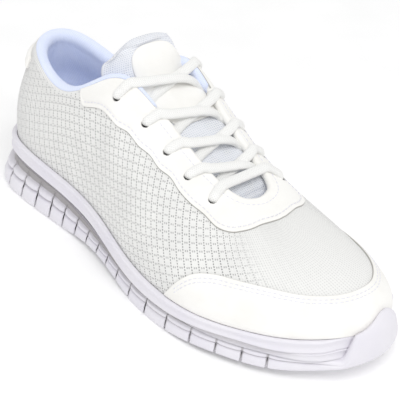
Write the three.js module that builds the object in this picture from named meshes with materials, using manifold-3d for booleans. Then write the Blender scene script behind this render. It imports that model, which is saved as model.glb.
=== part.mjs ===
// A low running sneaker for the right foot, in millimetres, +Z up, toe towards +X and
// the outer (lateral) side towards -Y. The origin lies on the floor under the heel seat.
import * as THREE from "three";
import { mergeVertices } from "three/addons/utils/BufferGeometryUtils.js";
import Module from "manifold-3d";

// ---- driving dimensions -------------------------------------------------------------
const SOLE_LENGTH = 290; // back of the heel to the tip of the toe bumper
const BALL_WIDTH = 112; // over the rim, across the ball of the foot
const HEEL_WIDTH = 75; // over the rim, across the heel seat
const INSTEP_HEIGHT = 101; // floor to the top of the lacing throat
const HEEL_HEIGHT = 88; // floor to the heel's topline, under the collar roll
const RIM_HEIGHT = 33; // floor to the top of the rim band at the heel

const UPPER_WALL = 2; // mesh, backing and lining together
const COLLAR_WALL = 7; // padded collar at its thickest
const FIT_GAP = 0.3; // left between neighbouring pieces
const RIM_LIP = 3.5; // the rim band stands this far out from the upper
const RIM_LIP_AT_TOE = 0.9; // what is left of it behind the toe bumper
const RIM_BAND = 8.5; // height of the rim band
const RIM_HOLLOW = 0.6; // how far the band's face is hollowed
const GROOVE_DEPTH = 4.5; // groove between the rim band and the tread, from the band's face
const CUP_DEPTH = 5.5; // rim top down to the footbed floor
const FOAM_LEAST = 2.2; // foam between the footbed floor and the tread, where it is thinnest
const TREAD_AT_HEEL = 19; // height of the tread layer
const TREAD_AT_BALL = 11.5;
const ARCH_LIFT = 3.5; // tread above the floor under the arch
const TOE_SPRING = 10; // tread above the floor at the toe tip
const HEEL_BEVEL = 3; // tread above the floor at the very back
const SIPE_MOUTH = 2.4; // width of a sipe where it meets the floor
const SIPE_ROOF = 2.2; // tread left whole above a sipe
const BUMPER_WALL = 4.6; // toe bumper, from the band outwards
const BUMPER_TOP = 6.5; // toe bumper's top edge above the rim
const INSOLE_THICKNESS = 4;
const TONGUE_THICKNESS = 5.5;
const TONGUE_SLACK = 0.8; // between the tongue and the tucked laces over it
const EYELET_DIAMETER = 4.2;
const EYELET_SETBACK = 11; // eyelet centres from the throat's edge, along the facing
const LACE_WIDTH = 5.6;
const LACE_THICKNESS = 2.4;
const LACE_CLEARANCE = 0.65; // between a lace and what lies under it
const HEEL_SEAT = 44; // origin, forward of the back of the heel

// ---- the last -----------------------------------------------------------------------
// The shape of the shoe is read off 25 stations round the foot, from the back of the
// heel along the lateral side to the toe and back along the medial side. They are
// measured on a size 42 last, and graded to the driving dimensions above. A station has
// its point on the feather line (where the upper meets the rim), its point on the
// topline, and the girth line between the two: how far it rises from the rim, how far it
// leans out there, how far it reaches back from the topline and at what slope it arrives.
const SIZE_42 = { length: 290, ball: 112, heel: 75, instep: 101, collar: 88, rim: 33 };
const STATIONS = [
  // feather x, y, z    topline x, y, z    rise, lean, reach, slope
  [6, 0, 33, 7, 0, 88, 22, 8, 22, 76],
  [12, -24.5, 32.5, 15.5, -18, 86.5, 22, 7, 22, 76],
  [33, -34, 32, 34, -27, 81, 20, 5, 20, 78],
  [60, -36, 31, 55, -29.5, 78, 20, 4, 20, 80],
  [87, -37.5, 29.5, 76, -29, 88, 24, 3, 24, 70],
  [112, -41.5, 27, 97, -21.5, 103, 30, 3, 29, 45],
  [137, -48, 23.5, 117, -15.5, 97, 31, 4, 30, 32],
  [161, -53.5, 21.3, 137.5, -13, 85.5, 29, 6, 28, 25],
  [187, -56, 20.3, 159, -12.5, 75.5, 26, 8, 27, 17],
  [213, -53.5, 21, 177, -10.5, 68, 22, 10, 26, 13],
  [238, -44.5, 22.7, 187, -6.5, 64.5, 21, 11, 28, 12],
  [261, -30, 24.8, 190.5, -2.5, 63.5, 21, 10, 34, 12],
  [279, -6, 27.5, 192, 2.5, 63, 22, 6, 40, 12],
  [279.5, 17, 28.5, 192, 7.5, 63, 21, 5, 38, 13],
  [267, 34, 28, 190.5, 13, 63.5, 19, 5, 29, 16],
  [246, 43.5, 26, 186.5, 18, 64.5, 18, 4, 21, 22],
  [221, 48, 24.5, 176.5, 21.5, 68, 17, 3, 18, 28],
  [195, 48, 24, 159, 23, 75.5, 19, 2, 18, 32],
  [168, 43, 25.5, 137.5, 25, 86, 24, 2, 21, 35],
  [141, 36.5, 28.5, 117, 27.5, 97.5, 29, 2, 23, 40],
  [113, 33, 31, 97, 28.5, 102, 29, 2, 25, 46],
  [86, 32.5, 32.5, 76, 28, 87, 24, 3, 24, 70],
  [59, 34, 33.5, 55, 26.5, 77, 20, 4, 20, 80],
  [33, 32.5, 33.5, 34, 24, 80.5, 20, 5, 20, 78],
  [13, 22, 33.3, 15.5, 16, 86.5, 22, 7, 22, 76],
];
const AROUND = 3 * STATIONS.length; // samples round the shoe, shared by all the rings
const UP = new THREE.Vector3(0, 0, 1);

const clamp01 = (v) => Math.min(1, Math.max(0, v));
const mix = (a, b, w) => a + (b - a) * w;
function ease(from, to, v) {
  const w = clamp01((v - from) / (to - from));
  return w * w * (3 - 2 * w);
}

// A station graded from the size 42 last to this shoe.
const HEEL_TO_BALL = [0.2, 0.6]; // shares of the length between which widths are blended
const HEEL_TO_THROAT = [0.1, 0.35]; // and between which heights are blended
function graded([fx, fy, fz, tx, ty, tz, rise, lean, reach, slope]) {
  const long = SOLE_LENGTH / SIZE_42.length;
  const toBall = (x) => ease(...HEEL_TO_BALL, x / SIZE_42.length);
  const wide = (x) => mix(HEEL_WIDTH / SIZE_42.heel, BALL_WIDTH / SIZE_42.ball, toBall(x));
  const toThroat = ease(...HEEL_TO_THROAT, tx / SIZE_42.length);
  const tall = mix(HEEL_HEIGHT / SIZE_42.collar, INSTEP_HEIGHT / SIZE_42.instep, toThroat);
  const rim = RIM_HEIGHT / SIZE_42.rim;
  const wall = (tz * tall - fz * rim) / (tz - fz);
  return [
    fx * long, fy * wide(fx), fz * rim,
    tx * long, ty * wide(tx), tz * tall,
    rise * wall, lean, reach * wall, slope,
  ];
}

// Control values of a closed uniform cubic B-spline that passes through the stations.
function splineThrough(values) {
  const n = values.length;
  let control = [...values];
  for (let pass = 0; pass < 60; pass++) {
    control = control.map((c, i) => {
      const curve = (control[(i + n - 1) % n] + 4 * c + control[(i + 1) % n]) / 6;
      return c + values[i] - curve;
    });
  }
  return control;
}

const GRADED = STATIONS.map(graded);
const COLUMNS = GRADED[0].map((_, column) => splineThrough(GRADED.map((row) => row[column])));

// One column of the station table at any place s round the shoe, s in stations.
function columnAt(column, s) {
  const control = COLUMNS[column];
  const n = control.length;
  const i = Math.floor(s);
  const f = s - i;
  const at = (k) => control[(((i + k) % n) + n) % n];
  const back = (1 - f) ** 3;
  const front = f ** 3;
  const near = 3 * f ** 3 - 6 * f ** 2 + 4;
  const far = -3 * f ** 3 + 3 * f ** 2 + 3 * f + 1;
  return (back * at(-1) + near * at(0) + far * at(1) + front * at(2)) / 6;
}

const featherAt = (s) =>
  new THREE.Vector3(columnAt(0, s), columnAt(1, s), columnAt(2, s));
const toplineAt = (s) =>
  new THREE.Vector3(columnAt(3, s), columnAt(4, s), columnAt(5, s));

// Outward direction of a line round the shoe, in plan.
function outwardOf(line, s) {
  const d = line(s + 0.01).sub(line(s - 0.01));
  return new THREE.Vector3(d.y, -d.x, 0).normalize();
}
const outwardAt = (s) => outwardOf(featherAt, s);

// Stations counted from the back of the heel, either way round.
const fromHeel = (s) => Math.min(s, STATIONS.length - s);
const acrossFrom = (s) => STATIONS.length - s; // the same place on the other side

// A point of the upper's outer face: t runs up the girth line, 0 at the rim, 1 at the top.
function outerFace(s, t) {
  const [rise, lean, reach, slope] = [6, 7, 8, 9].map((column) => columnAt(column, s));
  const foot = featherAt(s);
  const top = toplineAt(s);
  const outward = outwardOf(toplineAt, s);
  const leanBy = THREE.MathUtils.degToRad(lean);
  const arriveAt = THREE.MathUtils.degToRad(slope);
  const lower = foot
    .clone()
    .addScaledVector(UP, rise * Math.cos(leanBy))
    .addScaledVector(outwardAt(s), rise * Math.sin(leanBy));
  const higher = top
    .clone()
    .addScaledVector(outward, reach * Math.cos(arriveAt))
    .addScaledVector(UP, -reach * Math.sin(arriveAt));
  return new THREE.CubicBezierCurve3(foot, lower, higher, top).getPoint(t);
}

function faceNormal(s, t) {
  const h = 0.01;
  const tl = Math.max(0, t - h);
  const th = Math.min(1, t + h);
  const along = outerFace(s + h, t).sub(outerFace(s - h, t));
  const up = outerFace(s, th).sub(outerFace(s, tl));
  return along.cross(up).normalize();
}

// The wall is thin on the vamp and quarters, and padded towards the collar's edge.
const COLLAR_FRONT = 4; // station where the padding starts to thin, both sides
const COLLAR_END = 7; // station where it has run out, beside the second eyelet
const COLLAR_SWELL = [0.35, 0.92]; // girth shares between which the padding swells
function wallAt(s, t) {
  const padded = 1 - ease(COLLAR_FRONT, COLLAR_END, fromHeel(s));
  return mix(UPPER_WALL, COLLAR_WALL, padded * ease(...COLLAR_SWELL, t));
}

// The upper's face offset inwards by its wall and a depth below it.
function innerFace(s, t, depth = 0) {
  return outerFace(s, t).addScaledVector(faceNormal(s, t), -wallAt(s, t) - depth);
}

// ---- meshes from rings of points ----------------------------------------------------
function meshFrom(points, faces) {
  const g = new THREE.BufferGeometry();
  g.setAttribute(
    "position",
    new THREE.Float32BufferAttribute(points.flatMap((p) => [p.x, p.y, p.z]), 3),
  );
  g.setIndex(faces.flat());
  return g;
}

// Rings of equal length joined row to row. Closed rows come back to the first ring;
// open rows are shut by zipping each end ring from one side of the shoe to the other.
function ringsToGeometry(rings, { closedRows }) {
  const n = rings[0].length;
  const faces = [];
  const rows = closedRows ? rings.length : rings.length - 1;
  for (let r = 0; r < rows; r++) {
    const lower = r * n;
    const upper = ((r + 1) % rings.length) * n;
    for (let i = 0; i < n; i++) {
      const j = (i + 1) % n;
      faces.push([lower + i, lower + j, upper + j], [lower + i, upper + j, upper + i]);
    }
  }
  if (!closedRows) {
    zip(faces, 0, n, true);
    zip(faces, (rings.length - 1) * n, n, false);
  }
  return meshFrom(rings.flat(), faces);
}

function zip(faces, start, n, flipped) {
  for (let i = 0; i < n / 2; i++) {
    const [a, b, c, d] = [i, (n - i) % n, i + 1, n - i - 1];
    const corners = [[a, c, d], [a, d, b]];
    for (const [p, q, r] of corners) {
      if (p === q || q === r || p === r) continue;
      const [u, v, w] = [p + start, q + start, r + start];
      faces.push(flipped ? [u, w, v] : [u, v, w]);
    }
  }
}

const RING = Array.from({ length: AROUND }, (_, i) => (i * STATIONS.length) / AROUND);
const ringOf = (pointAt) => RING.map(pointAt);

// A point beside the feather line: out by `out` in plan, at height z.
const beside = (s, out, z) => featherAt(s).addScaledVector(outwardAt(s), out).setZ(z);

// ---- manifold-3d, for cuts and joins only -------------------------------------------
const wasm = await Module();
wasm.setup();

function toSolid(geometry) {
  const bare = geometry.clone();
  bare.deleteAttribute("normal");
  bare.deleteAttribute("uv");
  const merged = mergeVertices(bare, 1e-4);
  const mesh = new wasm.Mesh({
    numProp: 3,
    vertProperties: new Float32Array(merged.attributes.position.array),
    triVerts: new Uint32Array(merged.index.array),
  });
  return new wasm.Manifold(mesh);
}

function toGeometry(solid) {
  const mesh = solid.getMesh();
  const g = new THREE.BufferGeometry();
  g.setAttribute("position", new THREE.BufferAttribute(mesh.vertProperties, 3));
  g.setIndex(new THREE.BufferAttribute(mesh.triVerts, 1));
  return g;
}

// ---- sole heights -------------------------------------------------------------------
const lengthwise = (s) => featherAt(s).x / SOLE_LENGTH;
const rimTop = (s) => featherAt(s).z;
const floorTop = (s) => rimTop(s) - CUP_DEPTH;

// Top of the tread layer, thick under the heel and thin from the waist forwards.
const TREAD_THINS = [0.2, 0.42]; // shares of the sole's length
const TREAD_TURNS_UP = [0.72, 0.98];
const TREAD_RISE_AT_TOE = 2;
function treadTop(s) {
  const x = lengthwise(s);
  const level = mix(TREAD_AT_HEEL, TREAD_AT_BALL, ease(...TREAD_THINS, x));
  const tread = level + TREAD_RISE_AT_TOE * ease(...TREAD_TURNS_UP, x);
  return Math.min(tread, floorTop(s) - FOAM_LEAST);
}

// Underside of the tread: flat at heel and forefoot, lifted at arch, toe and heel back.
const ARCH_STARTS = [0.24, 0.39]; // shares of the sole's length
const ARCH_ENDS = [0.42, 0.57];
const TOE_LIFTS_FROM = 0.81;
const HEEL_BEVEL_TO = 0.07;
function groundAt(x) {
  const share = x / SOLE_LENGTH;
  const arch = ARCH_LIFT * ease(...ARCH_STARTS, share) * (1 - ease(...ARCH_ENDS, share));
  const toe = TOE_SPRING * Math.max(0, (share - TOE_LIFTS_FROM) / (1 - TOE_LIFTS_FROM)) ** 2;
  const heel = HEEL_BEVEL * Math.max(0, 1 - share / HEEL_BEVEL_TO) ** 2;
  return arch + toe + heel;
}

// 1 behind the toe bumper and 0 away from it; the bumper spans these stations.
const BUMPER_FROM = 11.85;
const BUMPER_TO = 13.7;
const BUMPER_TAPER = 0.5;
function underBumper(s) {
  const into = ease(BUMPER_FROM - BUMPER_TAPER, BUMPER_FROM, s);
  const outOf = ease(BUMPER_TO, BUMPER_TO + BUMPER_TAPER, s);
  return into * (1 - outOf);
}
const lipAt = (s) => mix(RIM_LIP, RIM_LIP_AT_TOE, underBumper(s));

// ---- midsole: rim band, groove and cup ----------------------------------------------
const BAND_OVERHANG = 0.8; // the groove's roof rises this far behind the band's foot
const BAND_EDGE = 0.3; // small steps that round the band's edges
const BAND_FACE = [0.85, 0.5, 0.14]; // lower lip, hollow and upper lip, down from the rim
function midsole() {
  const bandFoot = (s) => rimTop(s) - RIM_BAND;
  const bottom = (s) => treadTop(s) + FIT_GAP;
  const grooveTop = (s) => Math.max(bandFoot(s) - BAND_OVERHANG, bottom(s) + 2 * BAND_EDGE);
  const deep = (s) =>
    lipAt(s) - Math.min(GROOVE_DEPTH, bandFoot(s) - bottom(s) + BAND_OVERHANG);
  const [lower, hollow, higher] = BAND_FACE.map((share) => (s) => rimTop(s) - RIM_BAND * share);
  const rings = [
    (s) => beside(s, deep(s), bottom(s)),
    (s) => beside(s, deep(s), grooveTop(s)),
    (s) => beside(s, lipAt(s) - BAND_EDGE, Math.max(bandFoot(s), grooveTop(s) + BAND_EDGE)),
    (s) => beside(s, lipAt(s), lower(s)),
    (s) => beside(s, lipAt(s) - RIM_HOLLOW, hollow(s)),
    (s) => beside(s, lipAt(s), higher(s)),
    (s) => beside(s, mix(FIT_GAP, lipAt(s), 0.6), rimTop(s) - BAND_EDGE / 3),
    (s) => beside(s, FIT_GAP, rimTop(s) - BAND_EDGE),
    (s) => beside(s, FIT_GAP, floorTop(s)),
  ].map(ringOf);
  return ringsToGeometry(rings, { closedRows: false });
}

// ---- insole -------------------------------------------------------------------------
const INSOLE_ROUNDING = 1.1;
function insole() {
  const edge = UPPER_WALL + 2 * FIT_GAP;
  const seat = (s) => floorTop(s) + FIT_GAP;
  const top = (s) => seat(s) + INSOLE_THICKNESS;
  const rings = [
    (s) => beside(s, -edge, seat(s)),
    (s) => beside(s, -edge, top(s) - INSOLE_ROUNDING),
    (s) => beside(s, -edge - INSOLE_ROUNDING, top(s)),
  ].map(ringOf);
  return ringsToGeometry(rings, { closedRows: false });
}

// ---- outsole: tread courses, sipes and toe bumper -----------------------------------
// Out from the feather line and share of the tread height, from the floor up: bottom
// blocks, bar course, recessed web course.
const TREAD_FACE = [
  [2.8, 0],
  [4.4, 0.16],
  [3.8, 0.48],
  [2.2, 0.54],
  [3.2, 0.62],
  [2.8, 0.74],
  [0.8, 0.8],
  [0.5, 1],
];
const FLARE_AT_HEEL = 1.7; // the blocks stand out most round the back of the heel
const FLARE_AT_BALL = 0.7;
const FLARE_FADES = [0.8, 6]; // stations from the heel
const flareAt = (s) => mix(FLARE_AT_HEEL, FLARE_AT_BALL, ease(...FLARE_FADES, fromHeel(s)));
function treadRing([out, share]) {
  return ringOf((s) => {
    const flared = out * flareAt(s);
    const ground = groundAt(beside(s, flared, 0).x);
    return beside(s, flared, mix(ground, treadTop(s), share));
  });
}

// Lengths of the blocks along the lateral edge, from the back; a sipe ends each.
const BLOCK_LENGTHS = [
  22, 15, 14, 14, 12.5, 12.5, 12, 12, 12, 13.5, 15.5, 17, 18.5, 18, 15.5, 13.5, 12,
];
const SIPE_SLANT = 0.12; // the sipes run forwards towards the medial side, over the ball
const SIPE_SLANTS = [0.3, 0.75]; // shares of the sole's length over which the slant grows
const SIPE_TIP = 0.7; // width at a sipe's top
const SIPE_OVERRUN = 2; // the cut starts this far below the floor

// A wedge across the sole, as wide as SIPE_MOUTH at the floor and narrow at its top.
function sipe(x) {
  const top = treadTopAtLength(x) - SIPE_ROOF;
  const slant = SIPE_SLANT * ease(...SIPE_SLANTS, x / SOLE_LENGTH);
  const section = [
    [-SIPE_MOUTH / 2, -SIPE_OVERRUN],
    [SIPE_MOUTH / 2, -SIPE_OVERRUN],
    [SIPE_TIP / 2, top],
    [-SIPE_TIP / 2, top],
  ];
  const points = [-BALL_WIDTH, BALL_WIDTH].flatMap((y) =>
    section.map(([dx, z]) => new THREE.Vector3(x + dx + slant * (y + BALL_WIDTH / 2), y, z)),
  );
  const faces = [[0, 1, 2], [0, 2, 3], [4, 6, 5], [4, 7, 6]];
  for (let i = 0; i < 4; i++) {
    const j = (i + 1) % 4;
    faces.push([i, i + 4, j + 4], [i, j + 4, j]);
  }
  return toSolid(meshFrom(points, faces));
}

function treadTopAtLength(x) {
  const s = RING.find((v) => v < STATIONS.length / 2 && featherAt(v).x >= x);
  return treadTop(s ?? STATIONS.length / 2);
}

// The bumper's section beside the rim: out from the feather line, and height.
const BUMPER_CORNER = 0.6; // stations over which its ends rise to the full height
const BUMPER_CLIMB = 0.3; // below 1, the ends rise steeply and then level off
const BUMPER_LOW = 4; // its ends start this far below the rim
const BUMPER_ROOT = 0.8; // it grows out of the tread this far outside the feather line
const BUMPER_EMBED = 1; // and runs this deep into the tread
const BUMPER_STEPS = 14;
function bumperSection(s) {
  const inner = RIM_LIP_AT_TOE + FIT_GAP + 0.1;
  const outer = inner + BUMPER_WALL;
  const foot = groundAt(beside(s, BUMPER_WALL, 0).x) + BUMPER_EMBED;
  const from = ease(BUMPER_FROM, BUMPER_FROM + BUMPER_CORNER, s);
  const to = 1 - ease(BUMPER_TO - BUMPER_CORNER, BUMPER_TO, s);
  const risen = Math.min(from, to) ** BUMPER_CLIMB;
  const height = rimTop(s) + mix(-BUMPER_LOW, BUMPER_TOP, risen);
  const rounding = BUMPER_WALL / 4;
  return [
    [BUMPER_ROOT, foot],
    [mix(inner, outer, 0.5), foot],
    [outer - rounding / 3, foot + 3 * rounding],
    [outer, mix(foot, height, 0.45)],
    [outer - rounding, mix(foot, height, 0.8)],
    [inner + rounding, height],
    [inner, height - rounding / 3],
    [inner, treadTop(s) - BUMPER_EMBED],
    [BUMPER_ROOT, treadTop(s) - BUMPER_EMBED],
  ];
}

function bumper() {
  const places = Array.from({ length: BUMPER_STEPS + 1 }, (_, i) =>
    mix(BUMPER_FROM, BUMPER_TO, i / BUMPER_STEPS),
  );
  const sections = places.map((s) => bumperSection(s).map(([out, z]) => beside(s, out, z)));
  return toSolid(tubeGeometry(sections));
}

// Sections of equal length joined end to end, with fans over both ends.
function tubeGeometry(sections) {
  const n = sections[0].length;
  const faces = [];
  for (let r = 0; r + 1 < sections.length; r++) {
    for (let i = 0; i < n; i++) {
      const j = (i + 1) % n;
      const [a, b] = [r * n, (r + 1) * n];
      faces.push([a + i, b + i, b + j], [a + i, b + j, a + j]);
    }
  }
  const last = (sections.length - 1) * n;
  for (let i = 1; i + 1 < n; i++) {
    faces.push([0, i, i + 1], [last, last + i + 1, last + i]);
  }
  return meshFrom(sections.flat(), faces);
}

function outsole() {
  let body = toSolid(ringsToGeometry(TREAD_FACE.map(treadRing), { closedRows: false }));
  let x = 0;
  for (const length of BLOCK_LENGTHS) {
    x += (length * SOLE_LENGTH) / SIZE_42.length;
    body = body.subtract(sipe(x));
  }
  return toGeometry(body.add(bumper()));
}

// ---- upper --------------------------------------------------------------------------
const OUTER_ROWS = [0, 0.12, 0.27, 0.43, 0.6, 0.77, 0.9, 1];
const INNER_ROWS = [1, 0.9, 0.72, 0.45, 0.2, 0];
const ROLL_STEPS = [0.3, 0.7]; // share of the half turn over the top edge

function rolledEdge(s, share) {
  const half = wallAt(s, 1) / 2;
  const turn = Math.PI * share;
  const rising = outerFace(s, 1).sub(outerFace(s, 0.98)).normalize();
  return outerFace(s, 1)
    .addScaledVector(faceNormal(s, 1), -half * (1 - Math.cos(turn)))
    .addScaledVector(rising, half * Math.sin(turn));
}

function upperShell() {
  const skirtFoot = (s) => floorTop(s) + FIT_GAP;
  const rings = [
    (s) => beside(s, -UPPER_WALL, skirtFoot(s)),
    (s) => beside(s, 0, skirtFoot(s)),
    ...OUTER_ROWS.map((t) => (s) => outerFace(s, t)),
    ...ROLL_STEPS.map((share) => (s) => rolledEdge(s, share)),
    ...INNER_ROWS.map((t) => (s) => innerFace(s, t)),
  ].map(ringOf);
  return toSolid(ringsToGeometry(rings, { closedRows: true }));
}

// Stations of the five eyelets on the lateral side; the medial ones mirror them.
const EYELET_STATIONS = [5.3, 6.35, 7.25, 8.1, 9.05];
const EYELET_SIDES = 7;

// Share of the girth line at which an eyelet lies, EYELET_SETBACK from its upper end.
const eyeletShare = (s) => 1 - EYELET_SETBACK / (3 * columnAt(8, s));

function eyeletCutter(s) {
  const radius = EYELET_DIAMETER / 2;
  const drill = new THREE.CylinderGeometry(radius, radius, 2 * COLLAR_WALL, EYELET_SIDES);
  const normal = faceNormal(s, eyeletShare(s));
  drill.applyQuaternion(
    new THREE.Quaternion().setFromUnitVectors(new THREE.Vector3(0, 1, 0), normal),
  );
  const centre = outerFace(s, eyeletShare(s));
  drill.translate(centre.x, centre.y, centre.z);
  return toSolid(drill);
}

function upper() {
  let shell = upperShell();
  for (const s of EYELET_STATIONS) {
    shell = shell.subtract(eyeletCutter(s)).subtract(eyeletCutter(acrossFrom(s)));
  }
  return toGeometry(shell);
}

// ---- the instep between the facings -------------------------------------------------
// A smooth arc from the lateral facing to the medial one at station s: across runs from
// 0 to 1, and depth is measured below the upper's outer face.
const CROWN_AT_TOP = 0.25; // handle of the arc, as a share of the throat's width
const CROWN_AT_FOOT = 0.08; // the arc is nearly straight at the lowest eyelets
const CROWN_FALLS = [5.5, 9.2]; // stations
function bridge(s, across, depth, t = 1) {
  const side = (station) => {
    const at = outerFace(station, t).addScaledVector(faceNormal(station, t), -depth);
    const back = outerFace(station, Math.max(0, t - 0.02));
    return { at, heading: outerFace(station, t).sub(back).normalize() };
  };
  const near = side(s);
  const far = side(acrossFrom(s));
  const crown = mix(CROWN_AT_TOP, CROWN_AT_FOOT, ease(...CROWN_FALLS, s));
  const handle = near.at.distanceTo(far.at) * crown;
  return new THREE.CubicBezierCurve3(
    near.at,
    near.at.clone().addScaledVector(near.heading, handle),
    far.at.clone().addScaledVector(far.heading, handle),
    far.at,
  ).getPoint(across);
}

// A lace that dives under a facing lies between it and the tongue.
const TUCKED = LACE_THICKNESS / 2 + 0.8; // depth of its middle below the outer face
const TONGUE_CLEARANCE = TUCKED + LACE_THICKNESS / 2 + TONGUE_SLACK - UPPER_WALL;

// ---- tongue -------------------------------------------------------------------------
const TONGUE_TOP = 4.85; // station where it leaves the throat
const TONGUE_TOE = 10.4; // station of its sewn end, under the vamp
const TONGUE_SINK = 3; // how far its sewn end dips below the throat's edge
const TONGUE_SINKS = 1.2; // stations over which it dips
const TONGUE_ROWS = 9;
const UNDER_FACING = [0.8, 0.9, 1]; // girth shares of the tongue's edge, under a facing
const OVER_THROAT = [0.2, 0.4, 0.6, 0.8];
const HEAD_ROWS = [
  // rise of the middle, half width, drop of the edges, how far the edges wrap back
  [5, 14.5, 11, 2],
  [10, 17, 8, 4],
  [17, 24, 10.5, 8],
  [24, 26, 16, 10],
];
const HEAD_LEAN = 0.35; // forward lean of the head, per unit of rise
const HEAD_CURVE = 2.6; // how square-shouldered the head's outline is
const HEAD_FACING = [-0.9, -0.25, -0.3]; // the head's inner face lies back, in and down

// One row of the tongue's face at a station, edge to edge, `depth` below its outer face.
function tongueRow(s, depth) {
  const sunk = TONGUE_SINK * ease(TONGUE_TOE - TONGUE_SINKS, TONGUE_TOE, s);
  const below = (station, t) => wallAt(station, t) + TONGUE_CLEARANCE + sunk + depth;
  const edge = (station, t) =>
    outerFace(station, t).addScaledVector(faceNormal(station, t), -below(station, t));
  return [
    ...UNDER_FACING.map((t) => edge(s, t)),
    ...OVER_THROAT.map((across) => bridge(s, across, below(s, 1))),
    ...[...UNDER_FACING].reverse().map((t) => edge(acrossFrom(s), t)),
  ];
}

// A row of the tongue's head, which is pinched by the collar and then fans out over it.
function headRow([rise, half, drop, wrap], depth) {
  const base = bridge(TONGUE_TOP, 0.5, wallAt(TONGUE_TOP, 1) + TONGUE_CLEARANCE);
  const columns = 2 * UNDER_FACING.length + OVER_THROAT.length;
  const [back, inwards, down] = HEAD_FACING;
  return Array.from({ length: columns }, (_, i) => {
    const side = (2 * i) / (columns - 1) - 1;
    const x = base.x + HEAD_LEAN * rise - wrap * side ** 2 + back * depth;
    const y = base.y + side * (half + inwards * depth);
    const z = base.z + rise - drop * Math.abs(side) ** HEAD_CURVE + down * depth;
    return new THREE.Vector3(x, y, z);
  });
}

function tongue() {
  const face = (depth) => [
    ...Array.from({ length: TONGUE_ROWS + 1 }, (_, i) =>
      tongueRow(mix(TONGUE_TOE, TONGUE_TOP, i / TONGUE_ROWS), depth),
    ),
    ...HEAD_ROWS.map((row) => headRow(row, depth)),
  ];
  const outer = face(0);
  const inner = face(TONGUE_THICKNESS);
  const sections = outer.map((row, i) => [...row, ...inner[i].reverse()]);
  return tubeGeometry(sections.reverse());
}

// ---- laces --------------------------------------------------------------------------
const LACE_STEPS = 9;
const LACE_SECTION = [
  [0.5, 0], [0.28, 0.5], [-0.28, 0.5],
  [-0.5, 0], [-0.28, -0.5], [0.28, -0.5],
];
const LACE_HOP = 0.8; // rise of the upper strand at a crossing, in lace thicknesses
const LACE_LIFT = LACE_CLEARANCE + LACE_THICKNESS / 2;
const TUCKED_END = 0.85; // share of the throat's width where it stops, short of the edge
const DIVES = [0.3, 0.75]; // shares of the strand over which it dives
const HOP_INSET = 0.1; // the hop starts and ends this share in from a strand's ends

// A strand from eyelet to eyelet. It starts over the facing at station `from` on one
// side and reaches the other side at station `to`, tucked under the edge or over it.
function strandPath(from, to, { startsLateral, tucked, hop }) {
  const near = startsLateral ? from : acrossFrom(from);
  const far = startsLateral ? acrossFrom(to) : to;
  const beyond = tucked ? TUCKED_END : 1;
  const onFacing = (s, lift) => {
    const t = eyeletShare(s);
    return outerFace(s, t).addScaledVector(faceNormal(s, t), lift);
  };
  const overThroat = (w, lift) => {
    const across = startsLateral ? w * beyond : 1 - w * beyond;
    const dive = tucked ? ease(...DIVES, w) * (LACE_LIFT + TUCKED) : 0;
    const hopped = clamp01((w - HOP_INSET) / (1 - 2 * HOP_INSET));
    const over = hop * Math.sin(Math.PI * hopped) ** 2;
    return bridge(mix(from, to, w), across, -(lift - dive + over));
  };
  const places = [(lift) => onFacing(near, lift)];
  for (let i = 0; i <= LACE_STEPS; i++) {
    places.push((lift) => overThroat(i / LACE_STEPS, lift));
  }
  if (!tucked) places.push((lift) => onFacing(far, lift));
  return places.map((at) => {
    const point = at(LACE_LIFT);
    return { point, up: at(LACE_LIFT + 1).sub(point) };
  });
}

function strand(path) {
  const sections = path.map(({ point, up }, i) => {
    const next = path[Math.min(i + 1, path.length - 1)].point;
    const last = path[Math.max(i - 1, 0)].point;
    const along = next.clone().sub(last).normalize();
    const normal = up.clone().addScaledVector(along, -up.dot(along)).normalize();
    const side = along.clone().cross(normal);
    return LACE_SECTION.map(([u, v]) =>
      point
        .clone()
        .addScaledVector(side, u * LACE_WIDTH)
        .addScaledVector(normal, v * LACE_THICKNESS),
    );
  });
  return toSolid(tubeGeometry(sections));
}

function laceCross(i) {
  const [here, next] = [EYELET_STATIONS[i], EYELET_STATIONS[i + 1]];
  const hop = LACE_HOP * LACE_THICKNESS;
  const over = strandPath(here, next, { startsLateral: true, tucked: true, hop });
  const under = strandPath(here, next, { startsLateral: false, tucked: true, hop: 0 });
  return toGeometry(strand(over).add(strand(under)));
}

function laceBar() {
  const last = EYELET_STATIONS.at(-1);
  const path = strandPath(last, last, { startsLateral: true, tucked: false, hop: 0 });
  return toGeometry(strand(path));
}

// ---- the shoe -----------------------------------------------------------------------
const sneaker = new THREE.Group();
function place(name, geometry, colour, roughness) {
  const material = new THREE.MeshStandardMaterial({ color: colour, roughness, metalness: 0 });
  const mesh = new THREE.Mesh(geometry, material);
  mesh.name = name;
  mesh.position.x = -HEEL_SEAT;
  sneaker.add(mesh);
}

place("outsole", outsole(), 0xedebf2, 0.5);
place("midsole", midsole(), 0xe9e8ee, 0.55);
place("insole", insole(), 0xbfc9ea, 0.9);
place("upper", upper(), 0xececea, 0.85);
place("tongue", tongue(), 0xe9eaee, 0.9);
for (let i = 0; i + 1 < EYELET_STATIONS.length; i++) {
  place(`lace_cross_${i + 1}`, laceCross(i), 0xf1f1ef, 0.9);
}
place("lace_bar", laceBar(), 0xf1f1ef, 0.9);

export default sneaker;
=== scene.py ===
"""A low running sneaker for the right foot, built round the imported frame.

Lengths in the shape functions are millimetres from the back of the heel, +X to the toe
and -Y to the lateral side; the pieces are put into the frame in metres.
"""
import math

import bpy
import numpy as np
from mathutils import Matrix, Vector


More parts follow.
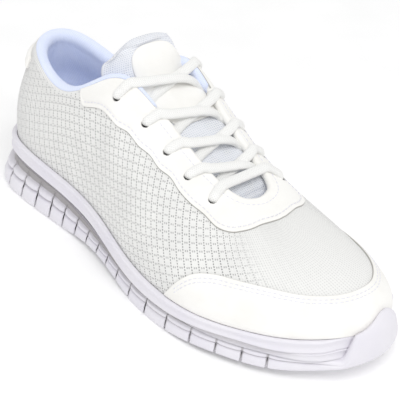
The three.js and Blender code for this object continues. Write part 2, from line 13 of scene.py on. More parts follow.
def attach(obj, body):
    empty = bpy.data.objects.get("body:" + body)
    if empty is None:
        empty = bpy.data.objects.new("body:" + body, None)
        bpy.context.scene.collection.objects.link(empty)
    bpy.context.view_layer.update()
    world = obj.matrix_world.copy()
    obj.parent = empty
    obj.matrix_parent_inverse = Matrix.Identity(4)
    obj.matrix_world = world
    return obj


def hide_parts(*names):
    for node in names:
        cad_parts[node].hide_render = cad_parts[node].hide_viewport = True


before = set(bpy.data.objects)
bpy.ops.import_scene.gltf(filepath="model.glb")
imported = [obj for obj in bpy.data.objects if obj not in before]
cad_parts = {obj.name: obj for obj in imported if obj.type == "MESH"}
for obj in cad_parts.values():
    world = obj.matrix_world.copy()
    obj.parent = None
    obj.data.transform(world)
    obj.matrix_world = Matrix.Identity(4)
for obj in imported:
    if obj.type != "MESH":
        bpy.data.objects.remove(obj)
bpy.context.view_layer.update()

bl_info = {
    "name": "Running sneaker",
    "version": (1, 0, 0),
    "blender": (4, 5, 0),
    "location": "3D View > Sidebar > Sneaker",
    "description": "Knit upper, suede overlays, padded collar and tongue, laces and sole",
    "category": "Object",
}

MM = 0.001
HEEL_SEAT = 44  # the frame's origin lies this far forward of the back of the heel
SOLE_LENGTH = 290
GAP = 0.3  # between two pieces that lie against each other


# ---- the last ----------------------------------------------------------------------
# A station has its point on the feather line, its point on the topline, and the girth
# line between them: rise and lean at the rim, reach and slope at the topline. They go
# round from the back of the heel by the lateral side, the toe and the medial side.
STATIONS = np.array([
    (6, 0, 33, 7, 0, 88, 22, 8, 22, 76),
    (12, -24.5, 32.5, 15.5, -18, 86.5, 22, 7, 22, 76),
    (33, -34, 32, 34, -27, 81, 20, 5, 20, 78),
    (60, -36, 31, 55, -29.5, 78, 20, 4, 20, 80),
    (87, -37.5, 29.5, 76, -29, 88, 24, 3, 24, 70),
    (112, -41.5, 27, 97, -21.5, 103, 30, 3, 29, 45),
    (137, -48, 23.5, 117, -15.5, 97, 31, 4, 30, 32),
    (161, -53.5, 21.3, 137.5, -13, 85.5, 29, 6, 28, 25),
    (187, -56, 20.3, 159, -12.5, 75.5, 26, 8, 27, 17),
    (213, -53.5, 21, 177, -10.5, 68, 22, 10, 26, 13),
    (238, -44.5, 22.7, 187, -6.5, 64.5, 21, 11, 28, 12),
    (261, -30, 24.8, 190.5, -2.5, 63.5, 21, 10, 34, 12),
    (279, -6, 27.5, 192, 2.5, 63, 22, 6, 40, 12),
    (279.5, 17, 28.5, 192, 7.5, 63, 21, 5, 38, 13),
    (267, 34, 28, 190.5, 13, 63.5, 19, 5, 29, 16),
    (246, 43.5, 26, 186.5, 18, 64.5, 18, 4, 21, 22),
    (221, 48, 24.5, 176.5, 21.5, 68, 17, 3, 18, 28),
    (195, 48, 24, 159, 23, 75.5, 19, 2, 18, 32),
    (168, 43, 25.5, 137.5, 25, 86, 24, 2, 21, 35),
    (141, 36.5, 28.5, 117, 27.5, 97.5, 29, 2, 23, 40),
    (113, 33, 31, 97, 28.5, 102, 29, 2, 25, 46),
    (86, 32.5, 32.5, 76, 28, 87, 24, 3, 24, 70),
    (59, 34, 33.5, 55, 26.5, 77, 20, 4, 20, 80),
    (33, 32.5, 33.5, 34, 24, 80.5, 20, 5, 20, 78),
    (13, 22, 33.3, 15.5, 16, 86.5, 22, 7, 22, 76),
], float)
COUNT = len(STATIONS)
UP = np.array([0, 0, 1.0])
UPPER_WALL, COLLAR_WALL = 2, 7
CUP_DEPTH = 5.5
LEAST_FOAM = 2.2  # between the tread and the footbed floor
TREAD_HEEL, TREAD_FORE, TREAD_RISE = 19, 11.5, 2  # top of the tread, and its rise at the toe
ARCH_LIFT, BALL_LIFT, TOE_LIFT, HEEL_LIFT = 3.5, 3.2, 9, 3  # of the tread's underside


def ease(low, high, value):
    """A smooth step from 0 at low to 1 at high: the cubic 3w^2 - 2w^3."""
    w = np.clip((value - low) / (high - low), 0, 1)
    return w * w * (3 - 2 * w)


def mix(a, b, weight):
    """The straight blend from a to b."""
    return a + (b - a) * weight


def unit(v):
    """Vectors of length one."""
    return v / np.maximum(np.linalg.norm(v, axis=-1, keepdims=True), 1e-12)


def hump(value, middle, half):
    """A bell, 1 at middle and near 0 two halves away."""
    return np.exp(-(((value - middle) / half) ** 2))


def through(table, value):
    """A smooth line through a table of (place, height): cubic Hermite, mean slopes."""
    xs, ys = np.array(table, float).T
    slopes = np.gradient(ys, xs)
    value = np.clip(value, xs[0], xs[-1])
    i = np.clip(np.searchsorted(xs, value, side="right") - 1, 0, len(xs) - 2)
    step = xs[i + 1] - xs[i]
    w = (value - xs[i]) / step
    return ((1 + 2 * w) * (1 - w) ** 2 * ys[i] + w * (1 - w) ** 2 * step * slopes[i]
            + w * w * (3 - 2 * w) * ys[i + 1] + w * w * (w - 1) * step * slopes[i + 1])


def control_values(table):
    """Control values of the closed uniform cubic B-spline through a table's rows."""
    control = table.copy()
    for _ in range(60):
        control += table - (np.roll(control, 1, 0) + 4 * control + np.roll(control, -1, 0)) / 6
    return control


CONTROL = control_values(STATIONS)


def columns(s, which):
    """Columns of the station table at places s round the shoe: uniform cubic B-spline."""
    s = np.asarray(s, float)
    i = np.floor(s).astype(int)
    f = (s - i)[..., None]

    def at(k):
        return CONTROL[(i + k) % COUNT][..., which]

    return ((1 - f) ** 3 * at(-1) + (3 * f ** 3 - 6 * f ** 2 + 4) * at(0)
            + (-3 * f ** 3 + 3 * f ** 2 + 3 * f + 1) * at(1) + f ** 3 * at(2)) / 6


def feather(s):
    """The line where the upper meets the rim."""
    return columns(s, [0, 1, 2])


def topline(s):
    """The upper's top edge: collar, then throat."""
    return columns(s, [3, 4, 5])


def outward(line, s):
    """Outward direction of a line round the shoe, in plan."""
    d = line(s + 0.01) - line(s - 0.01)
    return unit(np.stack([d[..., 1], -d[..., 0], 0 * d[..., 0]], -1))


def from_heel(s):
    """Stations counted from the back of the heel, either way round."""
    s = np.mod(s, COUNT)
    return np.minimum(s, COUNT - s)


def outer_face(s, t):
    """The upper's face: a cubic Bezier up each girth line, t 0 at the rim, 1 on top."""
    s, t = np.broadcast_arrays(np.asarray(s, float), np.asarray(t, float))
    rise, lean, reach, slope = np.moveaxis(columns(s, [6, 7, 8, 9]), -1, 0)[..., None]
    lean, slope = np.radians(lean), np.radians(slope)
    foot, top = feather(s), topline(s)
    lower = foot + rise * (np.cos(lean) * UP + np.sin(lean) * outward(feather, s))
    higher = top + reach * (np.cos(slope) * outward(topline, s) - np.sin(slope) * UP)
    t = t[..., None]
    u = 1 - t
    return u ** 3 * foot + 3 * u * u * t * lower + 3 * u * t * t * higher + t ** 3 * top


def face_normal(s, t):
    """Outward normal of the face: the cross of its two tangents."""
    s, t = np.broadcast_arrays(np.asarray(s, float), np.asarray(t, float))
    low, high = np.maximum(t - 0.01, 0), np.minimum(t + 0.01, 1)
    along = outer_face(s + 0.01, t) - outer_face(s - 0.01, t)
    return unit(np.cross(along, outer_face(s, high) - outer_face(s, low)))


def wall(s, t):
    """Thickness of the upper: thin, swelling towards the collar's edge."""
    padded = 1 - ease(4, 7, from_heel(s))
    return mix(UPPER_WALL, COLLAR_WALL, padded * ease(0.35, 0.92, t))


def shell(s, p, lift):
    """The upper's whole profile: p 0 to 1 up the outer face, to 2 in a half circle over
    the edge, to 3 down the inner face; lift is measured off the surface."""
    s, p, lift = np.broadcast_arrays(*(np.asarray(v, float) for v in (s, p, lift)))
    t = np.where(p < 1, p, np.where(p > 2, 3 - p, 1.0))
    lift, turn = lift[..., None], np.pi * np.clip(p - 1, 0, 1)[..., None]
    on, normal = outer_face(s, t), face_normal(s, t)
    half = wall(s, t)[..., None] / 2
    rising = unit(outer_face(s, t) - outer_face(s, np.maximum(t - 0.02, 0)))
    round_edge = (on - half * normal
                  + (half + lift) * (np.cos(turn) * normal + np.sin(turn) * rising))
    return np.where(p[..., None] > 2, on - (2 * half + lift) * normal, round_edge)


def beside(s, out, z):
    """A point out from the feather line in plan, at height z."""
    s, out, z = np.broadcast_arrays(s, out, z)
    at = feather(s) + out[..., None] * outward(feather, s)
    return np.stack([at[..., 0], at[..., 1], z], -1)


def rim_top(s):
    """Height of the rim, on the feather line."""
    return feather(s)[..., 2]


def floor_top(s):
    """The footbed floor, inside the cup."""
    return rim_top(s) - CUP_DEPTH


def tread_top(s):
    """Top of the tread: thick under the heel, thin from the waist forwards."""
    share = feather(s)[..., 0] / SOLE_LENGTH
    level = mix(TREAD_HEEL, TREAD_FORE, ease(0.2, 0.42, share))
    return np.minimum(level + TREAD_RISE * ease(0.72, 0.98, share), floor_top(s) - LEAST_FOAM)


def ground(x):
    """Underside of the tread: lifted at the arch, the toe and the back of the heel."""
    share = x / SOLE_LENGTH
    arch = ARCH_LIFT * ease(0.24, 0.39, share) * (1 - ease(0.42, 0.57, share))
    toe = BALL_LIFT * ease(0.6, 0.8, share) + TOE_LIFT * np.maximum(0, (share - 0.81) / 0.19) ** 2
    return arch + toe + HEEL_LIFT * np.maximum(0, 1 - share / 0.07) ** 2


def under_bumper(s):
    """1 behind the toe bumper and 0 away from it."""
    return ease(11.35, 11.85, s) * (1 - ease(13.7, 14.2, s))


# ---- meshes ------------------------------------------------------------------------
def quads(grid):
    """The four corners of each cell of a grid of point numbers, or of values there."""
    return np.stack([grid[:-1, :-1], grid[1:, :-1], grid[1:, 1:], grid[:-1, 1:]], 2)


def lengths_along(points):
    """How far each point lies along its line, or along its own row of a grid, in mm."""
    steps = np.linalg.norm(np.diff(points, axis=-2), axis=-1)
    return np.concatenate([0 * steps[..., :1], np.cumsum(steps, -1)], -1)


def rows_apart(points):
    """How far along a grid each of its rows lies, by the mean step, in mm: a column."""
    steps = np.linalg.norm(np.diff(points, axis=0), axis=2).mean(1)
    return np.concatenate([[0], np.cumsum(steps)])[:, None]


def surface_run(points):
    """How far along and across a grid each point lies, in mm: (rows, cols, 2)."""
    across = lengths_along(points)
    return np.stack([rows_apart(points) + 0 * across, across], 2)


def make_part(points, faces, *runs, **fields):
    """A part of a piece: its points, quads and point fields, with grids of run values
    for the corners of its first quads; the other quads have none."""
    faces = faces.reshape(-1, 4)
    corners = np.zeros((len(faces), 4, 2))
    if runs:
        given = np.concatenate([quads(run).reshape(-1, 4, 2) for run in runs])
        corners[:len(given)] = given
    return {"points": points.reshape(-1, 3), "faces": faces, "run": corners, "fields": fields}


def numbers(shape, first=0):
    """A grid of that shape of point numbers, counted from the first."""
    return first + np.arange(math.prod(shape)).reshape(shape)


def closed_loop(points, run, **fields):
    """A grid whose last row and column join the first; run has both joined already."""
    shape = points.shape[:2]
    fields = {key: np.broadcast_to(value, shape).ravel() for key, value in fields.items()}
    return make_part(points, quads(np.pad(numbers(shape), (0, 1), "wrap")), run, **fields)


def closed_sheet(top, bottom, run, **fields):
    """Two grids with one border between them: the top, and the bottom turned over."""
    rows, cols = top.shape[:2]
    up = numbers((rows, cols))
    down = up.copy()
    down[1:-1, 1:-1] = numbers((rows - 2, cols - 2), up.size)
    whole = {}
    for key, value in fields.items():
        value = np.broadcast_to(value, up.shape)
        whole[key] = np.concatenate([value.ravel(), value[1:-1, 1:-1].ravel()])
    return make_part(
        np.concatenate([top.reshape(-1, 3), bottom[1:-1, 1:-1].reshape(-1, 3)]),
        np.concatenate([quads(up).reshape(-1, 4), quads(down).reshape(-1, 4)[:, ::-1]]),
        run, run, **whole)


def capped_tube(wall, across, *runs, **fields):
    """A profile carried round a closed way, wall (places, rows), shut at its first and
    last rows by straight lines from side to side, place i to place -i. across is how
    many points each line has between its ends; fields are given on the wall."""
    count, rows = wall.shape[:2]
    index = numbers((count, rows))
    points, faces = [wall.reshape(-1, 3)], [quads(np.vstack([index, index[:1]])).reshape(-1, 4)]
    total, half = index.size, count // 2
    back = -np.arange(half + 1)
    share = np.linspace(0, 1, across + 2)[1:-1, None]
    for row, turned in ((0, 1), (rows - 1, -1)):
        inner = mix(wall[1:half, None, row], wall[back[1:-1], None, row], share)
        cap = np.empty((half + 1, across + 2), int)
        cap[:, 0], cap[:, -1] = index[:half + 1, row], index[back, row]
        cap[0], cap[-1] = index[0, row], index[half, row]
        cap[1:-1, 1:-1] = numbers(inner.shape[:2], total)
        points.append(inner.reshape(-1, 3))
        faces.append(quads(cap).reshape(-1, 4)[:, ::turned])
        total += inner.shape[0] * across
    fields = {key: np.concatenate([value.ravel(), np.zeros(total - index.size)])
              for key, value in fields.items()}
    return make_part(np.concatenate(points), np.concatenate(faces), *runs, **fields)


def volume(points, faces):
    """Signed volume inside closed quads, each split into two triangles."""
    a, b, c, d = (points[faces[:, k]] for k in range(4))
    return (np.einsum("ij,ij->i", a, np.cross(b, c)).sum()
            + np.einsum("ij,ij->i", a, np.cross(c, d)).sum()) / 6


def make_piece(name, parts, finish, replaces=()):
    """Joins parts into one smooth mesh, faces outwards, and puts it on the frame."""
    points, corners, counts, runs, fields, start = [], [], [], [], {}, 0
    keys = sorted({k for part in parts for k in part["fields"]})
    for part in parts:
        faces, run = part["faces"], part["run"]
        if volume(part["points"], faces) < 0:
            faces, run = faces[:, ::-1], run[:, ::-1]
        keep = faces != np.roll(faces, -1, 1)
        good = keep.sum(1) > 2
        keep &= good[:, None]
        corners.append(faces[keep] + start)
        runs.append(run[keep])
        counts.append(keep.sum(1)[good])
        points.append(part["points"])
        for key in keys:
            values = part["fields"].get(key, np.zeros(len(part["points"])))
            fields.setdefault(key, []).append(values)
        start += len(part["points"])
    points, corners = np.concatenate(points), np.concatenate(corners)
    counts, runs = np.concatenate(counts), np.concatenate(runs)
    mesh = bpy.data.meshes.new(name)
    mesh.vertices.add(len(points))
    placed = (points - (HEEL_SEAT, 0, 0)) * MM
    mesh.vertices.foreach_set("co", placed.astype(np.float32).ravel())
    mesh.loops.add(len(corners))
    mesh.loops.foreach_set("vertex_index", corners.astype(np.int32))
    mesh.polygons.add(len(counts))
    starts = np.concatenate([[0], np.cumsum(counts)[:-1]])
    mesh.polygons.foreach_set("loop_start", starts.astype(np.int32))
    mesh.update(calc_edges=True)
    held = mesh.attributes.new("run", "FLOAT_VECTOR", "CORNER")
    flat = np.concatenate([runs, np.zeros((len(runs), 1))], 1)
    held.data.foreach_set("vector", flat.astype(np.float32).ravel())
    for key in keys:
        held = mesh.attributes.new(key, "FLOAT", "POINT")
        held.data.foreach_set("value", np.concatenate(fields[key]).astype(np.float32))
    mesh.validate()
    mesh.shade_smooth()
    mesh.materials.append(finish)
    piece = bpy.data.objects.new(name, mesh)
    bpy.context.scene.collection.objects.link(piece)
    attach(piece, "root")
    if replaces:
        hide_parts(*replaces)
    return piece


# ---- finishes ----------------------------------------------------------------------
class Field:
    """A number that varies over a surface: a socket of a node tree, with its sums."""

    def __init__(self, tree, socket):
        self.tree, self.socket = tree, socket

    def math(self, operation, *others):
        """The result of a Math node on this field and others, or numbers."""
        node = self.tree.nodes.new("ShaderNodeMath")
        node.operation = operation
        for place, value in zip(node.inputs, (self, *others)):
            if isinstance(value, Field):
                self.tree.links.new(value.socket, place)
            else:
                place.default_value = value
        return Field(self.tree, node.outputs[0])

    def __add__(self, other):
        return self.math("ADD", other)

    def __sub__(self, other):
        return self.math("SUBTRACT", other)

    def __mul__(self, other):
        return self.math("MULTIPLY", other)

    def __truediv__(self, other):
        return self.math("DIVIDE", other)

    def rest(self):
        """One less this field."""
        return (self * -1) + 1

    def step(self, low, high):
        """A smooth step from 0 at low to 1 at high."""
        node = self.tree.nodes.new("ShaderNodeMapRange")
        node.interpolation_type = "SMOOTHSTEP"
        self.tree.links.new(self.socket, node.inputs["Value"])
        node.inputs["From Min"].default_value = low
        node.inputs["From Max"].default_value = high
        return Field(self.tree, node.outputs["Result"])

    def off_line(self, pitch, shift=0.0):
        """Distance to the nearest of the lines pitch apart, the first at shift."""
        return (((self - shift) / pitch + 0.5).math("FRACT") - 0.5).math("ABSOLUTE") * pitch

    def wave(self, pitch):
        """A sine wave from 0 to 1."""
        return (self * (2 * math.pi / pitch)).math("SINE") * 0.5 + 0.5


def dots(u, v, pitch_u, pitch_v, shift_u, shift_v, half_u, half_v):
    """Soft oval dots in rows: 1 in a dot and 0 between."""
    du = u.off_line(pitch_u, shift_u) / half_u
    dv = v.off_line(pitch_v, shift_v) / half_v
    return (du * du + dv * dv).step(0.45, 1.45).rest()


class Finish:
    """A procedural material being made: a shader, with its colour and relief."""

    def __init__(self, name, roughness, specular=0.35, sheen=0.0):
        self.material = bpy.data.materials.new(name)
        self.material.use_nodes = True
        self.tree = self.material.node_tree
        self.shader = self.tree.nodes["Principled BSDF"]
        for place, value in (("Roughness", roughness), ("Specular IOR Level", specular),
                             ("Sheen Weight", sheen), ("Sheen Roughness", 0.6)):
            self.shader.inputs[place].default_value = value

    def run(self):
        """How far along and across the piece a point lies, in mm."""
        node = self.tree.nodes.new("ShaderNodeAttribute")
        node.attribute_name = "run"
        split = self.tree.nodes.new("ShaderNodeSeparateXYZ")
        self.tree.links.new(node.outputs["Vector"], split.inputs[0])
        return Field(self.tree, split.outputs[0]), Field(self.tree, split.outputs[1])

    def field(self, name):
        """One of the piece's own point fields."""
        node = self.tree.nodes.new("ShaderNodeAttribute")
        node.attribute_name = name
        return Field(self.tree, node.outputs["Fac"])

    def noise(self, size, detail=2.0, roughness=0.5):
        """Cloudy noise with lumps of that size in mm, from 0 to 1."""
        place = self.tree.nodes.new("ShaderNodeTexCoord")
        node = self.tree.nodes.new("ShaderNodeTexNoise")
        node.inputs["Scale"].default_value = 1 / (size * MM)
        node.inputs["Detail"].default_value = detail
        node.inputs["Roughness"].default_value = roughness
        self.tree.links.new(place.outputs["Object"], node.inputs["Vector"])
        return Field(self.tree, node.outputs["Fac"])

    def colour(self, base, *layers):
        """Base colour, with (colour, field) layers laid over it in turn."""
        below = None
        for tint, amount in layers:
            node = self.tree.nodes.new("ShaderNodeMix")
            node.data_type = "RGBA"
            self.tree.links.new(amount.socket, node.inputs["Factor"])
            if below is None:
                node.inputs[6].default_value = (*base, 1)
            else:
                self.tree.links.new(below, node.inputs[6])
            node.inputs[7].default_value = (*tint, 1)
            below = node.outputs[2]
        self.tree.links.new(below, self.shader.inputs["Base Color"])

    def relief(self, height, depth, strength):
        """Bump from a height of 0 to 1 that is depth mm deep."""
        node = self.tree.nodes.new("ShaderNodeBump")
        node.inputs["Distance"].default_value = depth * MM
        node.inputs["Strength"].default_value = strength
        self.tree.links.new(height.socket, node.inputs["Height"])
        self.tree.links.new(node.outputs["Normal"], self.shader.inputs["Normal"])

    def glow(self, code, strength):
        """A faint even light of its own, as bounced light gives."""
        self.shader.inputs["Emission Color"].default_value = (*hue(code), 1)
        self.shader.inputs["Emission Strength"].default_value = strength


def hue(code):
    """A display colour code as linear red, green and blue."""
    parts = [int(code[i:i + 2], 16) / 255 for i in (0, 2, 4)]
    return tuple(c / 12.92 if c <= 0.04045 else ((c + 0.055) / 1.055) ** 2.4 for c in parts)


# ---- sizes and colours -------------------------------------------------------------
def length(name, description, millimetres):
    """A length property, shown in the scene's units."""
    return bpy.props.FloatProperty(
        name=name, description=description, default=millimetres * MM, min=0,
        precision=5, unit="LENGTH", subtype="DISTANCE")


def tint(name, description, code):
    """A colour property."""
    return bpy.props.FloatVectorProperty(
        name=name, description=description, default=hue(code), min=0, max=1,
        size=3, subtype="COLOR")


class SneakerSizes(bpy.types.PropertyGroup):
    """Sizes of the fine parts."""

    overlay: length("Overlay", "Thickness of the suede overlays", 1.1)
    heel_tab: length("Heel tab", "Thickness of the padded tab round the heel", 2.6)
    lining: length("Lining", "Thickness of the collar lining over the padding", 0.9)
    roll: length("Collar roll", "How far the collar's roll swells", 1.5)
    stitch: length("Stitch", "Length of one stitch", 2.1)
    stitch_gap: length("Stitch gap", "Gap between stitches", 0.9)
    thread: length("Thread", "Thickness of the thread", 0.5)
    lace_width: length("Lace width", "Width of the flat-oval lace", 6.2)
    lace_thickness: length("Lace thickness", "Thickness of the lace", 3.4)
    tongue: length("Tongue", "Thickness of the padded tongue", 5.5)
    eyelet: length("Eyelet", "Diameter of the punched eyelets", 4.8)
    sipe: length("Sipe", "Width of a sipe at the floor", 1.1)
    mesh_column: length("Mesh column", "Pitch of the mesh's open columns", 5.5)
    mesh_row: length("Mesh row", "Pitch of the mesh's open rows", 4.6)


class SneakerColours(bpy.types.PropertyGroup):
    """Colours of the finishes."""

    mesh: tint("Mesh", "Knit mesh of vamp and quarters", "F2F2F0")
    # Painted shade: the dark colour inside the mesh's openings.
    mesh_hole: tint("Mesh holes", "Dark of the mesh's openings", "949494")
    suede: tint("Suede", "Synthetic suede overlays", "FAF9F6")
    # Painted shade: the dark line of shade along the overlays' edges.
    edge_shade: tint("Edge shade", "Painted shade along the overlays' edges", "8D8A84")
    thread: tint("Thread", "Stitching", "EFEFF5")
    lining: tint("Lining", "Collar lining and binding", "E2E9FC")
    tongue: tint("Tongue", "Padded tongue", "EEF0F5")
    # Painted shade: the dark colour inside the tongue mesh's openings.
    tongue_hole: tint("Tongue openings", "Dark of the tongue's mesh", "B9C1D0")
    lace: tint("Lace", "Braided lace", "FAFAF8")
    sole: tint("Sole", "Moulded sole", "E9E7ED")
    groove: tint("Groove", "Shadowed groove under the rim band", "8E8A87")
    floor: tint("Floor", "Pale floor", "F8F8F8")


def mm(name):
    """A size of the sneaker, in mm."""
    return getattr(bpy.context.scene.sneaker_sizes, name) / MM


def paint(name):
    """A colour of the sneaker."""
    return tuple(getattr(bpy.context.scene.sneaker_colours, name))


# ---- shapes on the upper -----------------------------------------------------------
EYELETS = [5.22, 6.3, 7.22, 8.04, 8.97]  # stations, lateral side; mirrored across
THROAT_BOUND_TO = 6.3  # the blue binding ends beside the second eyelet
# Edges of the overlays, in (station, share of the girth line from the rim).
EYELET_INSET = 11  # mm from the upper end of the girth line
EYESTAY_FROM, EYESTAY_CORNER = 3.93, 0.42
OVERLAY_EDGE = 0.9  # radius of a rounded edge
OFF_SHELL = 0.02  # how far the overlays' undersides lie off the shell
EYESTAY_EDGE = [  # its lower edge
    (4.29, 0.83), (4.79, 0.78), (5.09, 0.74), (5.44, 0.71), (5.94, 0.735), (6.39, 0.73),
    (6.85, 0.75), (7.22, 0.74), (7.68, 0.76), (8.01, 0.74), (8.42, 0.73), (8.88, 0.73),
    (9.34, 0.70), (9.78, 0.71), (10.33, 0.76), (10.97, 0.82), (11.7, 0.85), (12.5, 0.86),
]
GUARD_FROM, GUARD_TO = 7.92, 17.06
GUARD_EDGE = [  # its upper edge
    (7.92, 0.0), (8.31, 0.17), (8.82, 0.32), (9.28, 0.38), (9.9, 0.40), (10.6, 0.40),
    (11.24, 0.37), (11.83, 0.35), (12.5, 0.34), (13.16, 0.33), (13.6, 0.335),
    (14.2, 0.34), (14.9, 0.35), (15.72, 0.34), (16.18, 0.29), (16.69, 0.17), (17.08, 0.0),
]


def eyelet_share(s):
    """Share of the girth line at which an eyelet lies, its inset from the upper end."""
    return 1 - EYELET_INSET / (3 * columns(s, [8])[..., 0])


def eyestay_low(s):
    """Lower edge of the eyestay: its table both ways, with a quarter circle at each end."""
    h = from_heel(s)
    corner = np.clip((h - EYESTAY_FROM) / EYESTAY_CORNER, 0, 1)
    corner = 1 - np.sqrt(1 - (1 - corner) ** 2)
    return mix(through(EYESTAY_EDGE, h), eyestay_high(s) - 0.01, corner)


def eyestay_high(s):
    """Its upper edge: under the collar's roll, then wrapped over the throat's edge."""
    h = from_heel(s)
    high = mix(1.19, 1.06, ease(3.8, 4.5, h))
    return mix(high, 2.1, ease(THROAT_BOUND_TO, THROAT_BOUND_TO + 0.14, h))


def guard_high(s):
    """Upper edge of the mudguard."""
    return through(GUARD_EDGE, s)


def spaced(width, rows, edge=(0, 0.1, 0.25, 0.45, 0.75, 1.15)):
    """Distances across a strip of that width, close together at both of its edges."""
    edge = np.minimum(np.array(edge), 1.2)[None, :] * np.minimum(1, width / 4)[:, None]
    inner = np.linspace(0, 1, rows - 2 * edge.shape[1] + 2)[None, 1:-1]
    low, high = edge[:, -1:], width[:, None] - edge[:, -1:]
    return np.concatenate([edge, mix(low, high, inner), width[:, None] - edge[:, ::-1]], 1)


def rounded(distance, radius):
    """Height of a rounded edge: a quarter circle over the first radius from the border."""
    w = np.clip(distance / radius, 0, 1)
    return np.sqrt(np.clip(1 - (1 - w) ** 2, 0, 1))


def overlay_part(s, low, high, thick, radius, rows, extra=None):
    """A strip laid on the upper between two edges: as thick as `thick`, with rounded
    borders, closed underneath. extra gives the drop of its face and its own fields."""
    s, low, high = (np.broadcast_to(v, s.shape)[:, None] for v in (s, low, high))
    probe = np.linspace(0, 1, 41)
    run_up = lengths_along(shell(s, mix(low, high, probe[None]), 0.0))
    width = run_up[:, -1]
    across = spaced(np.maximum(width, 1e-3), rows)
    share = np.stack([np.interp(a, r, probe) for a, r in zip(across, run_up)])
    p = mix(low, high, share)
    base = shell(s, p, 0.0)
    along = rows_apart(base)
    edge = np.minimum(across, width[:, None] - across)
    edge = np.minimum(edge, np.minimum(along, along[-1] - along) + 0 * edge)
    lift = OFF_SHELL + thick * rounded(edge, radius)
    # The edge field is painted shade along the strip's borders, darkest at the border.
    fields = {"edge": 1 - ease(0.0, 0.75 * radius, edge)}
    if extra is not None:
        drop, more = extra(s + 0 * p, p, base, edge)
        lift = np.maximum(lift - drop, OFF_SHELL + 0.02 * (edge > 0))
        fields.update(more)
    run = np.stack([along + 0 * across, across], 2)
    return closed_sheet(shell(s, p, lift), shell(s, p, OFF_SHELL), run, **fields)


def eyelet_dips(s, p, base, edge):
    """Punched holes in the eyestay: a steep round drop at each eyelet, marked with painted shade
    for the dark inside of the hole. A shallow crease runs along its stitches."""
    hole = np.zeros(p.shape)
    radius = mm("eyelet") / 2
    for station in EYELETS:
        for place in (station, COUNT - station):
            centre = outer_face(place, eyelet_share(place))
            distance = np.linalg.norm(base - centre, axis=2)
            hole = np.maximum(hole, 1 - ease(radius - 0.35, radius + 0.15, distance))
    hole *= p < 1
    crease = 0.25 * hump(edge, 3.2, 0.8) * (edge > 0)
    return mm("overlay") * hole + crease, {"hole": hole}


def guard_marks(s, p, base, edge):
    """The mudguard's painted edge shade shows only along its top, and it has no holes."""
    upper = p > 0.5 * guard_high(s)
    return 0 * p, {"edge": (1 - ease(0.0, 0.68, edge)) * upper, "hole": 0 * p}


def dense_near(low, high, places, count, reach):
    """Places from low to high, up to 3.5 times closer together near the given ones."""
    fine = np.linspace(low, high, 4001)
    weight = 1 + 2.5 * sum(hump(fine, place, reach) for place in places)
    total = np.concatenate([[0], np.cumsum((weight[1:] + weight[:-1]) / 2)])
    return np.interp(np.linspace(0, total[-1], count), total, fine)


def stitch_parts(s, p, lift):
    """Stitches along a line on the upper: joined capsules, each a small ellipse carried
    along its own thread."""
    line, normal = shell(s, p, lift), face_normal(s, np.minimum(p, 1))
    run = lengths_along(line)
    pitch, half = mm("stitch") + mm("stitch_gap"), mm("stitch") / 2
    middles = np.arange(pitch / 2, run[-1] - pitch / 2, pitch)
    u = np.array([-1, -0.9, -0.45, 0.45, 0.9, 1]) * half
    size = np.array([0.05, 0.7, 1, 1, 0.7, 0.05]) * mm("thread") / 2
    at, ups = (np.stack([np.interp(middles[:, None] + u, run, values[:, k])
                         for k in range(3)], 2) for values in (line, normal))
    side = unit(np.cross(unit(at[:, -1:] - at[:, :1]), ups))
    turn = np.linspace(0, 2 * np.pi, 7)[:-1]
    around = (np.cos(turn)[:, None] * side[:, :, None]
              + np.sin(turn)[:, None] * unit(ups)[:, :, None])
    rings = at[:, :, None] + size[:, None, None] * around
    count, rows, cols = rings.shape[:3]
    index = np.pad(numbers((count, rows, cols)), ((0, 0), (0, 0), (0, 1)), "wrap")
    faces = np.stack([index[:, :-1, :-1], index[:, 1:, :-1], index[:, 1:, 1:],
                      index[:, :-1, 1:]], 3).reshape(-1, 4)
    caps = [index[:, ring, order] for ring, order in (
        (0, (0, 1, 2, 3)), (0, (0, 3, 4, 5)), (-1, (3, 2, 1, 0)), (-1, (5, 4, 3, 0)))]
    return make_part(rings, np.concatenate([faces, *caps]))


def inside_edge(s, edge, distance):
    """A line on the upper that keeps a distance in mm above or below an edge line: the
    edge, moved by the distance over the girth line's rate there."""
    step = 0.01
    rate = np.linalg.norm(outer_face(s, edge + step) - outer_face(s, edge - step), axis=1)
    return edge + distance * 2 * step / rate


# ---- upper -------------------------------------------------------------------------
def upper_parts():
    """The knit shell: a skirt into the cup, the outer face, the rolled edge and the inner face, a
    closed loop at every place round the shoe. The back of the heel swells below the tab and is
    drawn in just under the tab's lower edge."""
    s = np.linspace(0, COUNT, 601)[:, None]
    h = from_heel(s)
    p = np.concatenate([
        np.linspace(0, 1, 64), np.linspace(1, 2, 9)[1:], np.linspace(2, 2.98, 14)[1:]])[None]
    swell = 0.55 * hump(p, 0.55, 0.3) * (p < 1) * (1 - ease(1.3, 2.3, h))
    drawn = 1.3 * hump(p, 0.8, 0.03) * (1 - ease(1.1, 1.7, h))
    flat = s[:, 0]
    foot = floor_top(flat) + GAP
    skirt = [beside(flat, out, foot)[:, None] for out in (0.01 - UPPER_WALL, 0)]
    skin = np.concatenate([*skirt, shell(s, p, swell - drawn)], 1)
    p = np.concatenate([[[0, 0]], p], 1)
    v = lengths_along(skin) - 7.5
    run = np.stack([lengths_along(feather(flat))[:, None] + 0 * v, v], 2)
    run = np.concatenate([run, run[:, :1] + (0, 400)], 1)
    forward = h + 1.2 * (p - 0.5)
    open_mesh = (0.45 + 0.55 * ease(0.5, 3.5, h)) * (1 - ease(9.5, 11.2, forward)) * (p <= 1)
    toe = ease(9.3, 10.8, forward) * (p <= 1)
    dim = 0.8 * (1 - ease(1.0, 4.2, h)) + 0 * p
    return [closed_loop(skin[:-1], run, open=open_mesh[:-1], toe=toe[:-1], dim=dim[:-1])]


